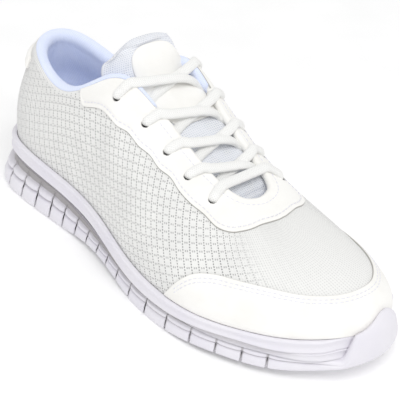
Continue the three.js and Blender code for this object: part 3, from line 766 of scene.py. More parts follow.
def mesh_finish():
    """Knit mesh: columns of fine openings with pairs of larger ones between them in rows, plain
    ribs at the heel and a finer, fainter grid over the toes; the openings are painted dark as the
    shade inside them."""
    f = Finish("knit_mesh", 0.85, 0.2, 0.15)
    u, v = f.run()
    u, v = u + v * 0.22, v - u * 0.35
    column, row = mm("mesh_column"), mm("mesh_row")
    wide = f.field("open")
    toe = f.field("toe")
    yarn = f.noise(0.9, 3)
    cloud = f.noise(18, 2)
    fine = dots(u, v, column, 1.55, 0, 0, 0.5, 0.5)
    pairs = dots(u, v, column, row, column * 0.36, 0.5, 0.5, 0.6)
    pairs = pairs.math("MAXIMUM", dots(u, v, column, row, column * 0.64, 0.5, 0.5, 0.6))
    holes = fine.math("MAXIMUM", pairs * 0.7) * wide
    small = dots(u, v, 2.0, 1.6, 0, 0, 0.36, 0.55) * toe * 0.3
    rib = u.off_line(column / 3).step(0.1, 0.7).rest() * f.field("dim")
    # The knit's openings are a real pattern; their dark colour is painted shade inside them.
    dark = holes.math("MAXIMUM", small) * (yarn * 0.9 + 0.4)
    shade = (wide * cloud.step(0.3, 0.7) * 0.14).math("MAXIMUM", rib * 0.8)
    f.colour(paint("mesh"), (hue("BDBDBE"), shade), (paint("mesh_hole"), dark))
    knit = (u.off_line(1.15) * 1.2 + v.off_line(0.9)) * 0.5 + yarn * 0.4
    f.relief(knit - dark * 0.9, 0.35, 0.8)
    return f.material


def suede_finish():
    """Synthetic suede: a faint nap, painted shade at its edges and in the eyelet holes."""
    f = Finish("synthetic_suede", 0.8, 0.25, 0.2)
    nap, cloud = f.noise(0.5, 4, 0.6), f.noise(14, 3)
    # Painted shade along the overlays' edges.
    edge = f.field("edge").step(0.35, 1.0) * 0.75
    f.colour(paint("suede"), (hue("F1EFEA"), cloud.step(0.35, 0.75) * 0.5),
             (hue("E6E4E0"), nap.step(0.55, 0.8) * 0.25), (paint("edge_shade"), edge),
             # Painted shade: the eyelet holes near-black, as the dark inside them.
             (hue("1C1B1B"), f.field("hole")))
    f.relief(nap, 0.18, 0.5)
    return f.material


def thread_finish():
    """Twisted thread."""
    f = Finish("thread", 0.6)
    f.colour(paint("thread"), (hue("DADAE6"), f.noise(0.6).step(0.4, 0.7)))
    return f.material


# ---- collar, tongue ----------------------------------------------------------------
def lining_parts():
    """Collar roll and lining: a padded skin from just outside the topline over the
    roll and down the inside, with a soft crease at the back of the heel."""
    off, rows = 0.03, 84
    s = np.linspace(0, COUNT, 561)[:, None]
    h = from_heel(s)
    low = mix(1.3, 1.2, ease(1.5, 3.2, h))
    low = mix(low, 1.05, ease(3.6, 4.4, h))
    low = mix(low, 2.14, ease(THROAT_BOUND_TO - 0.1, THROAT_BOUND_TO + 0.12, h))
    share = np.concatenate([[0, 0.004, 0.012, 0.025, 0.045], np.linspace(0.07, 1, rows - 5)])
    p = mix(low, 2.97, share[None])
    across = lengths_along(shell(s, p, 0.0))
    edge = np.minimum(across, across[:, -1:] - across)
    collar = 1 - ease(3.6, 5.6, h)
    puff = mm("roll") * (0.2 + 0.5 * collar) * hump(across, 5.0, 4.5) * (1 - ease(5.6, 6.3, h))
    crease = 2.6 * hump(np.mod(s + 1, COUNT) - 1, 0.1, 0.2) * ease(2.0, 2.2, p)
    bulge = 1.3 * hump(h, 1.1, 0.8) * hump(p, 2.3, 0.2)
    lift = off + (mm("lining") + puff + bulge - crease) * rounded(edge, 2.0)
    top = shell(s, p, np.maximum(lift, off))
    bottom = shell(s, p[:, ::-1], off)[:, 1:-1]
    loop = np.concatenate([top, bottom, top[:, :1]], 1)
    return [closed_loop(loop[:-1, :-1], surface_run(loop))]


def lining_finish():
    """Fine twill knit: slanting ribs."""
    f = Finish("collar_twill", 0.85, 0.2, 0.35)
    u, v = f.run()
    twill = (u + v * 1.4).wave(1.7)
    cross = (u - v * 0.4).wave(1.3)
    cloud = f.noise(12, 2)
    f.colour(paint("lining"), (hue("D3DDF8"), cloud.step(0.35, 0.75) * 0.35),
             (hue("BFCCEE"), (twill * cross).step(0.3, 0.8) * 0.35))
    f.relief(twill * 0.7 + cross * 0.3, 0.25, 0.7)
    f.glow("D3DDF8", 0.11)
    return f.material


def bridge(s, across, lift, crown):
    """The arc over the throat from the lateral edge to the medial one: a cubic Bezier
    that leaves each facing in its own direction, as high as its crown."""
    def side(station):
        at, on = outer_face(station, 1.0), face_normal(station, 1.0)
        return at + on * lift[..., None], unit(at - outer_face(station, 0.98))

    s, across, lift = np.broadcast_arrays(*(np.asarray(v, float) for v in (s, across, lift)))
    (near, leave), (far, arrive) = side(s), side(COUNT - s)
    rise = crown * mix(0.25, 0.08, ease(5.5, 9.2, s))
    handle = (np.linalg.norm(far - near, axis=-1) * rise)[..., None]
    w = across[..., None]
    u = 1 - w
    return (u ** 3 * near + 3 * u * u * w * (near + leave * handle)
            + 3 * u * w * w * (far + arrive * handle) + w ** 3 * far)


TONGUE_TOP, TONGUE_TOE, TONGUE_CLEARANCE = 5.8, 10.4, 2.0
HEAD_ROWS = np.array([  # each row of the head: its middle, lateral and medial edge points
    [(105.5, 4, 99.5), (95, -22, 89), (104, 29, 92)],
    [(100.5, 3, 106.5), (84.5, -20.5, 97), (99.5, 28, 99)],
    [(96, 1.5, 113.5), (84, -20.5, 105.5), (95.5, 26, 107)],
    [(92.5, 0.5, 118.5), (88.5, -19.5, 110), (92.5, 24, 113.5)],
    [(91, 0, 121.5), (91, -13.5, 116.5), (91.5, 20, 118.8)]])


def tongue_rows(depth):
    """Rows of the tongue, edge to edge, below its face: under the facings, over the
    throat, then the head, which leans back and wraps in behind the collar."""
    rows = []
    under, across = np.array([0.8, 0.9, 1.0]), np.array([0.2, 0.4, 0.6, 0.8])
    for s in np.linspace(TONGUE_TOE, TONGUE_TOP, 9):
        sunk = TONGUE_CLEARANCE + 3 * ease(TONGUE_TOE - 1.2, TONGUE_TOE, s) + depth
        near, far = (outer_face(e, under) - face_normal(e, under)
                     * (wall(e, under) + sunk)[:, None] for e in (s, COUNT - s))
        below = wall(s, 1.0) + sunk
        crown = mix(1.0, 0.55, ease(5.0, 6.4, s))
        rows.append(np.concatenate(
            [near, bridge(s, across, -below - 0.8 * np.sin(np.pi * across), crown), far[::-1]]))
    side = np.linspace(-1, 1, 10)[:, None]
    drop = np.abs(side) ** (2.4, 1, 3)  # how soon x, y and z leave the middle for the edge
    inner = depth * np.concatenate([0.85 + 0 * side, 0.25 * side, 0.5 + 0 * side], 1)
    for middle, lateral, medial in HEAD_ROWS:
        edge = np.where(side < 0, lateral, medial)
        rows.append(mix(middle, edge, drop) - inner)
    return np.stack(rows)


def resampled(grid, count, axis):
    """A grid drawn smoothly through its points along one axis: Catmull-Rom."""
    grid = np.moveaxis(grid, axis, 0)
    ends = np.concatenate([2 * grid[:1] - grid[1:2], grid, 2 * grid[-1:] - grid[-2:-1]])
    place = np.linspace(0, len(grid) - 1, count)
    i = np.minimum(place.astype(int), len(grid) - 2)
    w = (place - i).reshape(-1, *[1] * (grid.ndim - 1))
    a, b, c, d = (ends[i + k] for k in range(4))
    made = 0.5 * (2 * b + (c - a) * w + (2 * a - 5 * b + 4 * c - d) * w ** 2
                  + (3 * b - a - 3 * c + d) * w ** 3)
    return np.moveaxis(made, 0, axis)


def tongue_skins():
    """Face and back of the tongue as fine grids, and each point's distance from its
    free border in mm."""
    face, back = (resampled(resampled(tongue_rows(depth), 150, 0), 74, 1)
                  for depth in (0, mm("tongue")))
    middle = (face + back) / 2
    left, down = lengths_along(middle), lengths_along(middle.swapaxes(0, 1)).T
    side = np.minimum(left, left[:, -1:] - left)
    return face, back, np.minimum(np.minimum(down, down[-1:] - down), side)


def tongue_parts():
    """The padded tongue: the two skins closing on each other in a round border."""
    face, back, border = tongue_skins()
    middle, half = (face + back) / 2, (face - back) / 2
    full = rounded(border, 4.5)[..., None]
    roll = 0.35 * hump(border, 5.5, 1.2)[..., None]
    return [closed_sheet(middle + half * (full - roll * (full > 0.5)), middle - half * full,
                         surface_run(middle))]


PATCH = [(0.46, 0.9), (0.22, 0.96)]  # shares of the tongue's length and width
PATCH_CORNER, PATCH_HALF, PATCH_THICK = 0.21, 18, 0.9  # corner as a share, the others in mm


def patch_parts():
    """A thin patch on the tongue's head, with round corners: a rounded rectangle of shares, a
    grid drawn in at its corners, lying on the tongue's face."""
    face = tongue_skins()[0]
    (low, high), (near, far) = PATCH
    grid_u, grid_v = np.linspace(-1, 1, 90)[:, None], np.linspace(-1, 1, 60)[None]
    corner = 1 - PATCH_CORNER * (np.abs(grid_u) ** 3 * np.abs(grid_v) ** 3)
    rows = mix(low, high, (grid_u * corner + 1) / 2) * (face.shape[0] - 1)
    cols = mix(near, far, (grid_v * corner + 1) / 2) * (face.shape[1] - 1)
    i = np.clip(rows.astype(int), 0, face.shape[0] - 2)
    j = np.clip(cols.astype(int), 0, face.shape[1] - 2)
    fi, fj = (rows - i)[..., None], (cols - j)[..., None]
    on = mix(mix(face[i, j], face[i + 1, j], fi),
             mix(face[i, j + 1], face[i + 1, j + 1], fi), fj)
    normal = unit(np.cross(np.gradient(on, axis=1), np.gradient(on, axis=0)))
    normal *= np.sign(normal[45, 30, 0])  # towards the toe
    edge = np.minimum(1 - np.abs(grid_u), 1 - np.abs(grid_v)) * PATCH_HALF
    lift, off = PATCH_THICK * rounded(edge, 1.2)[..., None], 0.05
    # The edge field paints faint shade round the patch's border; hole is zero, so there is no
    # eyelet shade.
    return [closed_sheet(on + normal * (lift + off), on + normal * off, surface_run(on),
                         edge=(1 - ease(0, 0.8, edge)) * 0.25, hole=0.0)]


def tongue_finish():
    """Open padded mesh: small openings staggered in slanting rows, painted dark as the shade
    inside them.
    """
    f = Finish("tongue_mesh", 0.85, 0.2, 0.2)
    u, v = f.run()
    first = dots(u + v, v - u, 2.6, 2.6, 0, 0, 0.45, 0.6)
    second = dots(u + v, v - u, 2.6, 2.6, 1.3, 1.3, 0.4, 0.55)
    cloud, yarn = f.noise(7, 3), f.noise(0.8, 2)
    # The openings are a real pattern; their dark colour is painted shade inside them.
    dark = first.math("MAXIMUM", second) * (cloud.step(0.25, 0.7) * 0.4 + 0.35)
    f.colour(paint("tongue"), (hue("F4F4F3"), cloud.step(0.45, 0.8) * 0.5),
             (paint("tongue_hole"), dark))
    f.relief(yarn * 0.5 - dark * 0.8, 0.35, 0.8)
    return f.material


# ---- laces -------------------------------------------------------------------------
FACING_SHARE = 0.18  # share of a crossing that lies over each facing
LACE_SIT = 0.36  # height of its middle over what it lies on, in thicknesses
HOLE_WIDTH, NEAR_HOLE_WIDTH = 0.86, 0.9  # of the lace, in its own widths
HOLE_POINTS = 8  # first points of a crossing, which the way through the hole stands for


def smoothed(values, width):
    """A line of values, each the mean of its neighbours under a bell."""
    reach = int(3 * width)
    bell = np.exp(-0.5 * (np.arange(-reach, reach + 1) / width) ** 2)
    bell /= bell.sum()
    padded = np.concatenate([np.repeat(values[:1], reach, 0), values,
                             np.repeat(values[-1:], reach, 0)])
    return np.stack([np.convolve(column, bell, "valid") for column in padded.T], 1)


def through_hole(station):
    """The short way up through an eyelet, from under the facing to over it: points, up
    directions away from the throat, and widths, drawn in by the hole."""
    t = eyelet_share(station)
    on = outer_face(station, t)
    towards = unit(outer_face(station, t + 0.04) - on)
    lift = np.linspace(-(wall(station, t) + 1.4), mm("overlay") + 0.6, 12)[:, None]
    path = on + 0.7 * towards + face_normal(station, t) * lift
    return path, 0 * path - towards, np.full(len(path), HOLE_WIDTH)


def crossing(first, last, from_lateral, hop, tucked):
    """One strand, from the hole at station first to the other side at station last:
    up through its hole, over its facing, across the throat in an arc, then tucked under
    the far facing or laid over it. Gives points, up directions and widths."""
    w = np.linspace(0, 1, 150)
    s = mix(first, last, w)
    across = (w - FACING_SHARE) / (1 - 2 * FACING_SHARE)
    near, far = (s, COUNT - s) if from_lateral else (COUNT - s, s)
    over = mm("overlay") + mm("lace_thickness") * LACE_SIT
    inside = np.clip(across, 0, 1)
    dive = ease(0.52, 0.97, across) if from_lateral else ease(0.12, 0.85, across)
    lift = mix(over + hop * np.sin(np.pi * inside) ** 2, -(wall(far, 1.0) + 1.6), dive * tucked)
    landed = np.clip((w - 1 + FACING_SHARE) / FACING_SHARE, 0, 1)
    share = np.where(across < 0, mix(eyelet_share(near), 1, w / FACING_SHARE),
                     mix(1, eyelet_share(far), landed))
    place = np.where(across < 0, near, far)
    crown = 0.12 * (1 - ease(5.6, 7.0, s))

    def at(extra):
        facing = outer_face(place, share) + face_normal(place, share) * (lift + extra)[:, None]
        throat = bridge(s, inside if from_lateral else 1 - inside, lift + extra, crown)
        on_throat = (across > 0) & (across < 1)
        return np.where(on_throat[:, None], throat, facing)

    path = at(0.0)
    up = unit(at(1.0) - path)
    keep = slice(HOLE_POINTS, None if tucked else -HOLE_POINTS)
    from_hole = ease(0, 0.17, w if tucked else np.minimum(w, 1 - w))
    strand = [through_hole(first if from_lateral else COUNT - first),
              (path[keep], up[keep], mix(NEAR_HOLE_WIDTH, 1.0, from_hole)[keep])]
    if not tucked:
        far_hole = through_hole(COUNT - last if from_lateral else last)
        strand.append([values[::-1] for values in far_hole])
    return [np.concatenate(values) for values in zip(*strand)]


LACE_HOPS = [0.6, 0.2, 0.0, -0.4]  # how far each upper strand rises over the lower one
BAR_HOP = -0.5
LACE_STEP = 0.45


def lace_path():
    """The whole lace: down one zigzag from the top lateral eyelet, along the bar, and
    back up the other, its up side turned over at each eyelet. Gives points at even
    steps, their up directions and widths."""
    def strand(i, lateral):
        hop = LACE_HOPS[i] if lateral else 0.0
        return crossing(EYELETS[i], EYELETS[i + 1], lateral, hop, True)

    strands = [strand(i, i % 2 == 0) for i in range(4)]
    strands.append(crossing(EYELETS[4], EYELETS[4], True, BAR_HOP, False))
    strands += [[values[::-1] for values in strand(i, i % 2 == 1)] for i in (3, 2, 1, 0)]
    points, ups, width = (list(values) for values in zip(*strands))
    ups[1::2] = [-up for up in ups[1::2]]
    points = np.concatenate(points)
    run = lengths_along(points)
    even = np.arange(0, run[-1], LACE_STEP)

    def evenly(values, blur):
        values = np.stack([np.interp(even, run, column) for column in values.T], 1)
        return smoothed(values, blur)

    width = evenly(np.concatenate(width)[:, None], 5)[:, 0]
    return evenly(points, 3.2), unit(evenly(np.concatenate(ups), 4)), width


def lace_parts():
    """The lace: an oval carried along its path, as wide as the path says and a little
    thicker where it is narrow, closed at both hidden ends."""
    points, ups, width = lace_path()
    along = unit(np.gradient(points, axis=0))
    side = unit(np.cross(along, ups))
    up = np.cross(side, along)
    turn = np.linspace(0, 2 * np.pi, 25)[:-1, None]
    wide, thick = (np.sign(wave) * np.abs(wave) ** 0.85 * mm(name) / 2 for wave, name in (
        (np.cos(turn), "lace_width"), (np.sin(turn), "lace_thickness")))
    ends = np.ones(len(points))
    ends[:3] = ends[-3:][::-1] = (0.3, 0.7, 0.92)
    skin = (points + side * (wide * width * ends)[..., None]
            + up * (thick * (1.45 - 0.45 * width) * ends)[..., None])
    cols, rows = skin.shape[:2]
    v = np.append(np.linspace(0, 14, cols), 14.6)[:, None] + np.zeros(rows)
    run = np.stack([np.arange(rows) * LACE_STEP + 0 * v, v], 2)
    return [capped_tube(skin, 0, run)]


def lace_finish():
    """Braided cord: slanting strands both ways, with fine cross ribs."""
    f = Finish("braided_lace", 0.75, 0.25, 0.2)
    u, v = f.run()
    braid = (u + v * 0.9).wave(1.25).math("MAXIMUM", (u - v * 0.9).wave(1.25))
    yarn = f.noise(0.7, 2)
    f.colour(paint("lace"), (hue("D9D9D8"), braid.rest().step(0.2, 0.75) * 0.4),
             (hue("E4E4E2"), yarn.step(0.5, 0.8) * 0.4))
    f.relief(braid * 0.8 + yarn * 0.2, 0.3, 0.8)
    return f.material


# ---- sole --------------------------------------------------------------------------
BLOCK_LENGTHS = [
    22, 15, 14, 14, 12.5, 12.5, 12, 12, 12, 13.5, 15.5, 17, 18.5, 18, 15.5, 13.5, 12]
SIPES = np.cumsum(BLOCK_LENGTHS)  # each block ends in a sipe
SIPE_SLANT, SIPE_WEB = 0.12, 2.2  # slope of a sipe across the sole, rubber left over it
LATERAL_MOST = 56  # how far out the sole bulges at the ball
TOE_MIDDLE = 12.5  # station at the tip of the toe
BUMPER_RISE = 9.2  # how far the toe bumper climbs over the rim
RIM_LIP, LIP_AT_TOE = 3.5, 0.9
BAND_HEEL, BAND_FORE, BAND_TOE = 8.5, 5.4, 7.3  # height of the rim band
TREAD_FACE = np.array([  # out from the feather line, share of the tread's height
    (2.5, 0), (3.5, 0.015), (4.15, 0.06), (4.45, 0.14), (4.5, 0.24), (4.35, 0.34),
    (4.05, 0.42), (3.5, 0.465), (2.6, 0.49), (2.05, 0.515), (2.15, 0.54), (2.8, 0.56),
    (3.25, 0.6), (3.3, 0.66), (3.05, 0.715), (2.4, 0.745), (1.3, 0.77), (0.8, 0.8),
    (0.65, 0.88), (0.55, 0.97), (0.3, 1.0)])


def sipe_place(s):
    """How far along the sole a place of the outline is, measured along the slant of
    the sipes: solved by repeating x minus the slant."""
    at = beside(s, 3, 0)
    x = place = at[..., 0]
    for _ in range(4):
        slant = SIPE_SLANT * ease(0.3, 0.75, place / SOLE_LENGTH)
        place = x - slant * (at[..., 1] + LATERAL_MOST)
    return place


def tread_stations():
    """Stations round the sole, paired side to side: close together at the sipes, even
    round the heel and toe. Gives a closed ring of them and their distances from the
    nearest sipe."""
    near_sipe = np.array([-3.2, -2.2, -1.6, -1.25, -1.0, -0.75, -0.45, -0.18])
    places = [8.0, 12.0, 16.0]
    for sipe, block in zip(SIPES, [*BLOCK_LENGTHS[1:], 8]):
        places += [*(sipe + near_sipe), *(sipe - near_sipe[::-1])]
        places += list(np.linspace(sipe + 3.2, sipe + block - 3.2, 5)[1:-1])
    heel, toe = np.linspace(0, 1, 14)[:-1], np.linspace(0, 1, 56)[1:]
    sides = []
    for back, first, last in ((0, 0.4, 12.2), (COUNT, 24.6, 12.9)):
        outline = np.linspace(first, last, 1500)
        side = np.interp(places, sipe_place(outline), outline)
        sides.append(np.concatenate([
            back + (side[0] - back) * heel, side, mix(side[-1], TOE_MIDDLE, toe)]))
    middle = np.concatenate([0 * heel, places, 300 + 0 * toe])
    off = np.abs(middle[:, None] - SIPES).min(1)
    return (np.concatenate([near, far[-2:0:-1]]) for near, far in (sides, (off, off)))


def upper_lean(s, z):
    """How far out from the feather line the upper's face is at heights z, row by row."""
    face = outer_face(s, np.linspace(0, 0.5, 24)[None])
    foot = beside(s, 0, 0)
    out = ((face - foot) * (beside(s, 1, 0) - foot)).sum(2)
    return np.stack([np.interp(*row) for row in zip(z, face[..., 2], out)])


def block_profile(s, off):
    """The tread's side: blocks, bar and web, out from the feather line, cut by the V of
    each sipe, which leaves only what is over it; off is the distance to the nearest
    sipe. Gives how far out, the height, and the share of the profile's height."""
    share = resampled(TREAD_FACE, 46, 0)[:, 1][None]
    flare = mix(1.7, 0.7, ease(0.8, 6, from_heel(s)))
    half = mm("sipe") / 2
    open_to = np.clip((half - off) / (half - 0.3), 0, 1)
    top = tread_top(s)
    floor = ground(beside(s, 3 * flare, 0)[..., 0])
    low = open_to * (top - SIPE_WEB - floor) / (top - floor)
    share = low + (1 - low) * share
    shown = share * mix(1.0, 0.78, ease(6.0, 9.5, from_heel(s)))  # no web above the bar in front
    out = np.interp(shown, *resampled(TREAD_FACE, 400, 0).T[::-1])
    pillow = 1.3 * np.exp(-np.maximum(off - half, 0) / 1.5) * ease(0.02, 0.2, share)
    out = (out - pillow * (out > 1) * (off < 20)) * flare
    return out, mix(floor, top, share), shown


def bumper_profile(s, rows):
    """The round toe bumper: an egg from the ground up over the rim, then a straight back
    down inside, leaning with the upper. Gives how far out, and the height."""
    top = tread_top(s)
    climb = 0.7 * ease(11.76, 12.0, s) + 0.3 * ease(11.9, 12.7, s)
    climb *= 1 - ease(12.85, 13.9, s)
    height = mix(top + 0.2, rim_top(s) + BUMPER_RISE, climb)
    turn = np.linspace(0, 1, rows)[None] / 0.8
    up = 1 - np.cos(0.5 * np.pi * np.clip(turn, 0, 1)) ** 1.4
    egg = 1.4 + 5.0 * np.sin(np.pi * np.clip(0.12 + 0.78 * turn, 0, 1)) ** 0.7
    back = np.clip((turn - 1) * 4, 0, 1)
    out = np.where(back > 0, mix(1.9, 1.3, ease(0, 0.4, back)), egg)
    foot = ground(beside(s, 4, 0)[..., 0])
    z = np.where(back > 0, mix(height, top, back), mix(foot, height, up))
    return out + upper_lean(s, z), z


def outsole_parts():
    """The outsole: the tread's side carried round the shoe, morphing towards the toe
    into the bumper, closed in lines from side to side, so that each sipe runs across."""
    s, off = (values[:, None] for values in tread_stations())
    out, z, share = block_profile(s, off)
    inwards = np.linspace(0, 1, 13)[None, 1:]
    out = np.concatenate([out, out[:, -1:] - 1.2 * inwards], 1)
    z = np.concatenate([z, z[:, -1:] + 0 * inwards], 1)
    into = ease(11.2, 12.0, s) * (1 - ease(13.55, 14.4, s))
    bumper_out, bumper_z = bumper_profile(s, out.shape[1])
    side = beside(s, mix(out, bumper_out, into), mix(z, bumper_z, into))
    shade = np.zeros(side.shape[:2])
    shade[:, :share.shape[1]] = (0.6 * (1 - ease(0.06, 0.6, off - 0.25))
                                 + hump(share, 0.515, 0.02) * 0.6 + ease(0.765, 0.8, share))
    return [capped_tube(side, 14, shade=np.minimum(shade, 1) * (1 - into))]


def midsole_parts():
    """The foam midsole: groove, rim band with its lips and hollow, and the cup inside,
    a profile carried round the shoe and closed side to side below and in the cup."""
    s = np.linspace(0, COUNT, 641)[:-1]
    lip = mix(RIM_LIP, LIP_AT_TOE, under_bumper(s))
    rim, bottom, h = rim_top(s), tread_top(s) + GAP, from_heel(s)
    fore = ease(6.5, 10.0, h)
    band = mix(mix(BAND_HEEL, BAND_FORE, fore), BAND_TOE, ease(9.5, 11.0, h))
    foot = rim - band
    roof = np.maximum(foot - 0.8, bottom + 0.6)
    toe = ease(10.3, 11.3, s) * (1 - ease(13.85, 14.7, s))
    deep = lip - np.minimum(mix(4.5, 1.9, fore), foot - bottom + 0.8) * (1 - toe)
    rows = [  # how far out, the height, how dark
        (deep, bottom, 0), (deep, mix(bottom, roof, 0.5), 1), (deep, roof - 0.3, 1),
        (deep + 0.3, roof, 1), (mix(deep, lip, 0.6), roof + 0.1, 1),
        (lip - 0.9, np.maximum(foot, roof + 0.15), 0.7),
        (lip - 0.3, np.maximum(foot + 0.15, roof + 0.4), 0.2)]
    for up in np.linspace(0.1, 0.9, 15):
        dish = 0.85 * np.sin(np.pi * np.clip((up - 0.14) / 0.72, 0, 1)) ** 1.2
        rows.append((lip - dish * (1 - 0.7 * under_bumper(s)), foot + band * up, 0))
    rows += [(lip - 0.15, rim - 0.45, 0), (lip - 0.5, rim - 0.12, 0), (lip - 1.0, rim, 0),
             (mix(0.3, lip, 0.3), rim, 0), (0.45, rim - 0.05, 0), (0.3, rim - 0.4, 0),
             (0.3, floor_top(s), 0)]
    inside = 18  # from this row on, no point goes inside the cup's wall
    side = np.stack([beside(s, np.maximum(out, 0.3) if i > inside else out, z)
                     for i, (out, z, _) in enumerate(rows)], 1)
    dark = np.array([dark for _, _, dark in rows]) * (1 - mix(0.55 * fore, 1, toe))[:, None]
    return [capped_tube(side, 8, shade=dark)]


def insole_parts():
    """The sock liner: a flat pad with a round edge, in the cup."""
    s = np.linspace(0, COUNT, 301)[:-1]
    profile = [(-2.6, 0), (-2.6, 2.6), (-2.8, 3.3), (-3.2, 3.8), (-3.9, 4.0)]
    side = np.stack([beside(s, out, floor_top(s) + GAP + z) for out, z in profile], 1)
    return [capped_tube(side, 12)]


def sole_finish(name, roughness):
    """Moulded sole: faint lilac white, satin, dark in its grooves, with a fine grain."""
    f = Finish(name, roughness, 0.4)
    grain, cloud = f.noise(0.8, 3), f.noise(30, 2)
    f.colour(paint("sole"), (hue("DFDCE8"), cloud.step(0.35, 0.75) * 0.4),
             (paint("groove"), f.field("shade") * 0.75))
    f.relief(grain, 0.06, 0.4)
    return f.material


def liner_finish():
    """Sock liner: a brushed fabric in the collar's colour."""
    f = Finish("sock_liner_cloth", 0.9, 0.2, 0.3)
    f.colour(paint("lining"), (hue("98A6DA"), f.noise(1.2, 3).step(0.4, 0.7) * 0.5))
    f.relief(f.noise(0.8, 3), 0.2, 0.6)
    return f.material


# ---- operators ---------------------------------------------------------------------
class SNEAKER_OT_upper(bpy.types.Operator):
    """Build the knit shell of the upper"""

    bl_idname = "sneaker.upper"
    bl_label = "Upper"

    def execute(self, context):
        make_piece("knit_upper", upper_parts(), mesh_finish(), ["upper"])
        return {"FINISHED"}


class SNEAKER_OT_overlays(bpy.types.Operator):
    """Build the suede overlays: eyestay, mudguard and heel tab"""

    bl_idname = "sneaker.overlays"
    bl_label = "Overlays"

    def execute(self, context):
        suede, thick = suede_finish(), mm("overlay")
        places = [*EYELETS, *(COUNT - e for e in EYELETS), EYESTAY_FROM, COUNT - EYESTAY_FROM]
        # Each strip has some hundreds of places along it and some tens of rows across.
        s = dense_near(EYESTAY_FROM, COUNT - EYESTAY_FROM, places, 620, 0.16)
        eyestay = overlay_part(
            s, eyestay_low(s), eyestay_high(s), thick, OVERLAY_EDGE, 58, eyelet_dips)
        make_piece("eyestay", [eyestay], suede)
        s = dense_near(GUARD_FROM + 0.02, GUARD_TO, [GUARD_FROM, GUARD_TO], 460, 0.3)
        guard = overlay_part(s, 0.002, guard_high(s), thick, OVERLAY_EDGE, 44, guard_marks)
        make_piece("mudguard", [guard], suede)
        tab = overlay_part(np.linspace(-1.25, 1.25, 150), 0.83, 0.955, mm("heel_tab"), 2.6, 40)
        # The heel tab gets a fainter painted edge shade and no painted eyelet shade.
        tab["fields"]["hole"] = 0 * tab["fields"]["edge"]
        tab["fields"]["edge"] *= 0.3
        make_piece("heel_tab", [tab], suede)
        return {"FINISHED"}


class SNEAKER_OT_stitches(bpy.types.Operator):
    """Sew the rows of stitches on the overlays"""

    bl_idname = "sneaker.stitches"
    bl_label = "Stitches"

    def execute(self, context):
        lift = mm("overlay") + 0.05
        rows = []
        for first, last, count, edge, inset in (
                (EYESTAY_FROM + 0.28, COUNT - EYESTAY_FROM - 0.28, 2400, eyestay_low, 3.0),
                (THROAT_BOUND_TO + 0.3, COUNT - THROAT_BOUND_TO - 0.3, 1200,
                 lambda s: 0.985 + 0 * s, -2.6),
                (GUARD_FROM + 0.35, GUARD_TO - 0.36, 2000, guard_high, -3.0),
                (GUARD_FROM + 0.35, GUARD_TO - 0.36, 2000, guard_high, -5.2)):
            s = np.linspace(first, last, count)
            rows.append(stitch_parts(s, inside_edge(s, edge(s), inset), lift))
        make_piece("overlay_stitches", rows, thread_finish())
        return {"FINISHED"}


class SNEAKER_OT_collar(bpy.types.Operator):
    """Build the padded collar roll and lining"""

    bl_idname = "sneaker.collar"
    bl_label = "Collar"

    def execute(self, context):
        lining = make_piece("collar_lining", lining_parts(), lining_finish())
        return {"FINISHED"}


class SNEAKER_OT_tongue(bpy.types.Operator):
    """Build the padded tongue and the patch on its head"""

    bl_idname = "sneaker.tongue"
    bl_label = "Tongue"

    def execute(self, context):
        tongue = make_piece(
            "padded_tongue", tongue_parts(), tongue_finish(), ["tongue"])
        make_piece("tongue_patch", patch_parts(), bpy.data.materials["synthetic_suede"])
        return {"FINISHED"}


class SNEAKER_OT_laces(bpy.types.Operator):
    """Thread the lace through the eyelets"""

    bl_idname = "sneaker.laces"
    bl_label = "Laces"

    def execute(self, context):
        crossings = [f"lace_cross_{i}" for i in (1, 2, 3, 4)]
        make_piece("threaded_lace", lace_parts(), lace_finish(),
                   [*crossings, "lace_bar"])
        return {"FINISHED"}


class SNEAKER_OT_sole(bpy.types.Operator):
    """Build the outsole, midsole and insole"""

    bl_idname = "sneaker.sole"
    bl_label = "Sole"

    def execute(self, context):
        make_piece("blocked_outsole", outsole_parts(), sole_finish("sole_rubber", 0.42),
                   ["outsole"])
        make_piece("banded_midsole", midsole_parts(), sole_finish("sole_foam", 0.5),
                   ["midsole"])
        make_piece("sock_liner", insole_parts(), liner_finish(), ["insole"])
        return {"FINISHED"}


def soft_light(name, place, target, size, power):
    """A square area light at a place, aimed at a target, in metres and watts."""
    data = bpy.data.lights.new(name, "AREA")
    data.size, data.energy = size, power
    light = bpy.data.objects.new(name, data)
    light.location = place
    light.rotation_euler = (Vector(target) - Vector(place)).to_track_quat("-Z", "Y").to_euler()
    bpy.context.scene.collection.objects.link(light)


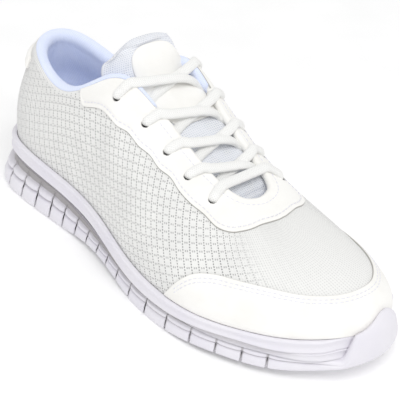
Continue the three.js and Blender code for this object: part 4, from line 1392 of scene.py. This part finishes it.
class SNEAKER_OT_stage(bpy.types.Operator):
    """Set the floor, the soft studio light and the camera"""

    bl_idname = "sneaker.stage"
    bl_label = "Stage"

    def execute(self, context):
        scene = context.scene
        mesh = bpy.data.meshes.new("floor")
        reach = 6.0
        corners = [(x * reach, y * reach, 0) for x, y in ((-1, -1), (1, -1), (1, 1), (-1, 1))]
        mesh.from_pydata(corners, [], [(0, 1, 2, 3)])
        f = Finish("floor_paint", 0.8, 0.1)
        f.colour(paint("floor"), (hue("F4F4F4"), f.noise(60).step(0.3, 0.7)))
        f.glow("FFFFFF", 0.14)
        mesh.materials.append(f.material)
        floor = bpy.data.objects.new("floor", mesh)
        scene.collection.objects.link(floor)

        world = bpy.data.worlds.new("studio")
        world.use_nodes = True
        sky = world.node_tree.nodes["Background"]
        sky.inputs["Color"].default_value = (1, 1, 1, 1)
        sky.inputs["Strength"].default_value = 0.72
        scene.world = world
        middle = (0.1, 0, 0.04)
        soft_light("key", (0.75, -0.35, 1.3), middle, 0.9, 8)
        soft_light("fill", (0.2, -1.5, 0.7), middle, 1.2, 1.0)
        scene.view_settings.view_transform = "Standard"

        aim, distance = Vector((0.101, 0, 0.04)), 0.9227
        azimuth, height, roll = 0.7873, 0.5550, 0.09255
        back = Vector((math.sin(azimuth) * math.cos(height),
                       -math.cos(azimuth) * math.cos(height), math.sin(height)))
        right = Vector((math.cos(azimuth), math.sin(azimuth), 0))
        up = back.cross(right)
        side = right * math.cos(roll) + up * math.sin(roll)
        up = up * math.cos(roll) - right * math.sin(roll)
        data = bpy.data.cameras.new("camera")
        data.sensor_width, data.lens = 36, 145.23
        data.shift_x, data.shift_y = 0.0154, -0.001
        data.clip_end = 50
        camera = bpy.data.objects.new("camera", data)
        turn = Matrix((side, up, back)).transposed().to_4x4()
        camera.matrix_world = Matrix.Translation(aim + back * distance) @ turn
        scene.collection.objects.link(camera)
        scene.camera = camera
        return {"FINISHED"}


STEPS = ("sole", "upper", "overlays", "stitches", "collar", "tongue", "laces", "stage")


class SNEAKER_PT_panel(bpy.types.Panel):
    """The sneaker's steps, sizes and colours"""

    bl_label = "Sneaker"
    bl_idname = "SNEAKER_PT_panel"
    bl_space_type = "VIEW_3D"
    bl_region_type = "UI"
    bl_category = "Sneaker"

    def draw(self, context):
        for step in STEPS:
            self.layout.operator(f"sneaker.{step}")
        for group in (context.scene.sneaker_sizes, context.scene.sneaker_colours):
            for name in group.__annotations__:
                self.layout.prop(group, name)


CLASSES = (
    SneakerSizes, SneakerColours, SNEAKER_OT_sole, SNEAKER_OT_upper, SNEAKER_OT_overlays,
    SNEAKER_OT_stitches, SNEAKER_OT_collar, SNEAKER_OT_tongue, SNEAKER_OT_laces,
    SNEAKER_OT_stage, SNEAKER_PT_panel)


def register():
    for made in CLASSES:
        bpy.utils.register_class(made)
    bpy.types.Scene.sneaker_sizes = bpy.props.PointerProperty(type=SneakerSizes)
    bpy.types.Scene.sneaker_colours = bpy.props.PointerProperty(type=SneakerColours)


def unregister():
    del bpy.types.Scene.sneaker_colours
    del bpy.types.Scene.sneaker_sizes
    for made in reversed(CLASSES):
        bpy.utils.unregister_class(made)


def main():
    """Registers the add-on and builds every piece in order."""
    register()
    for step in STEPS:
        getattr(bpy.ops.sneaker, step)()


if __name__ == "__main__":
    main()
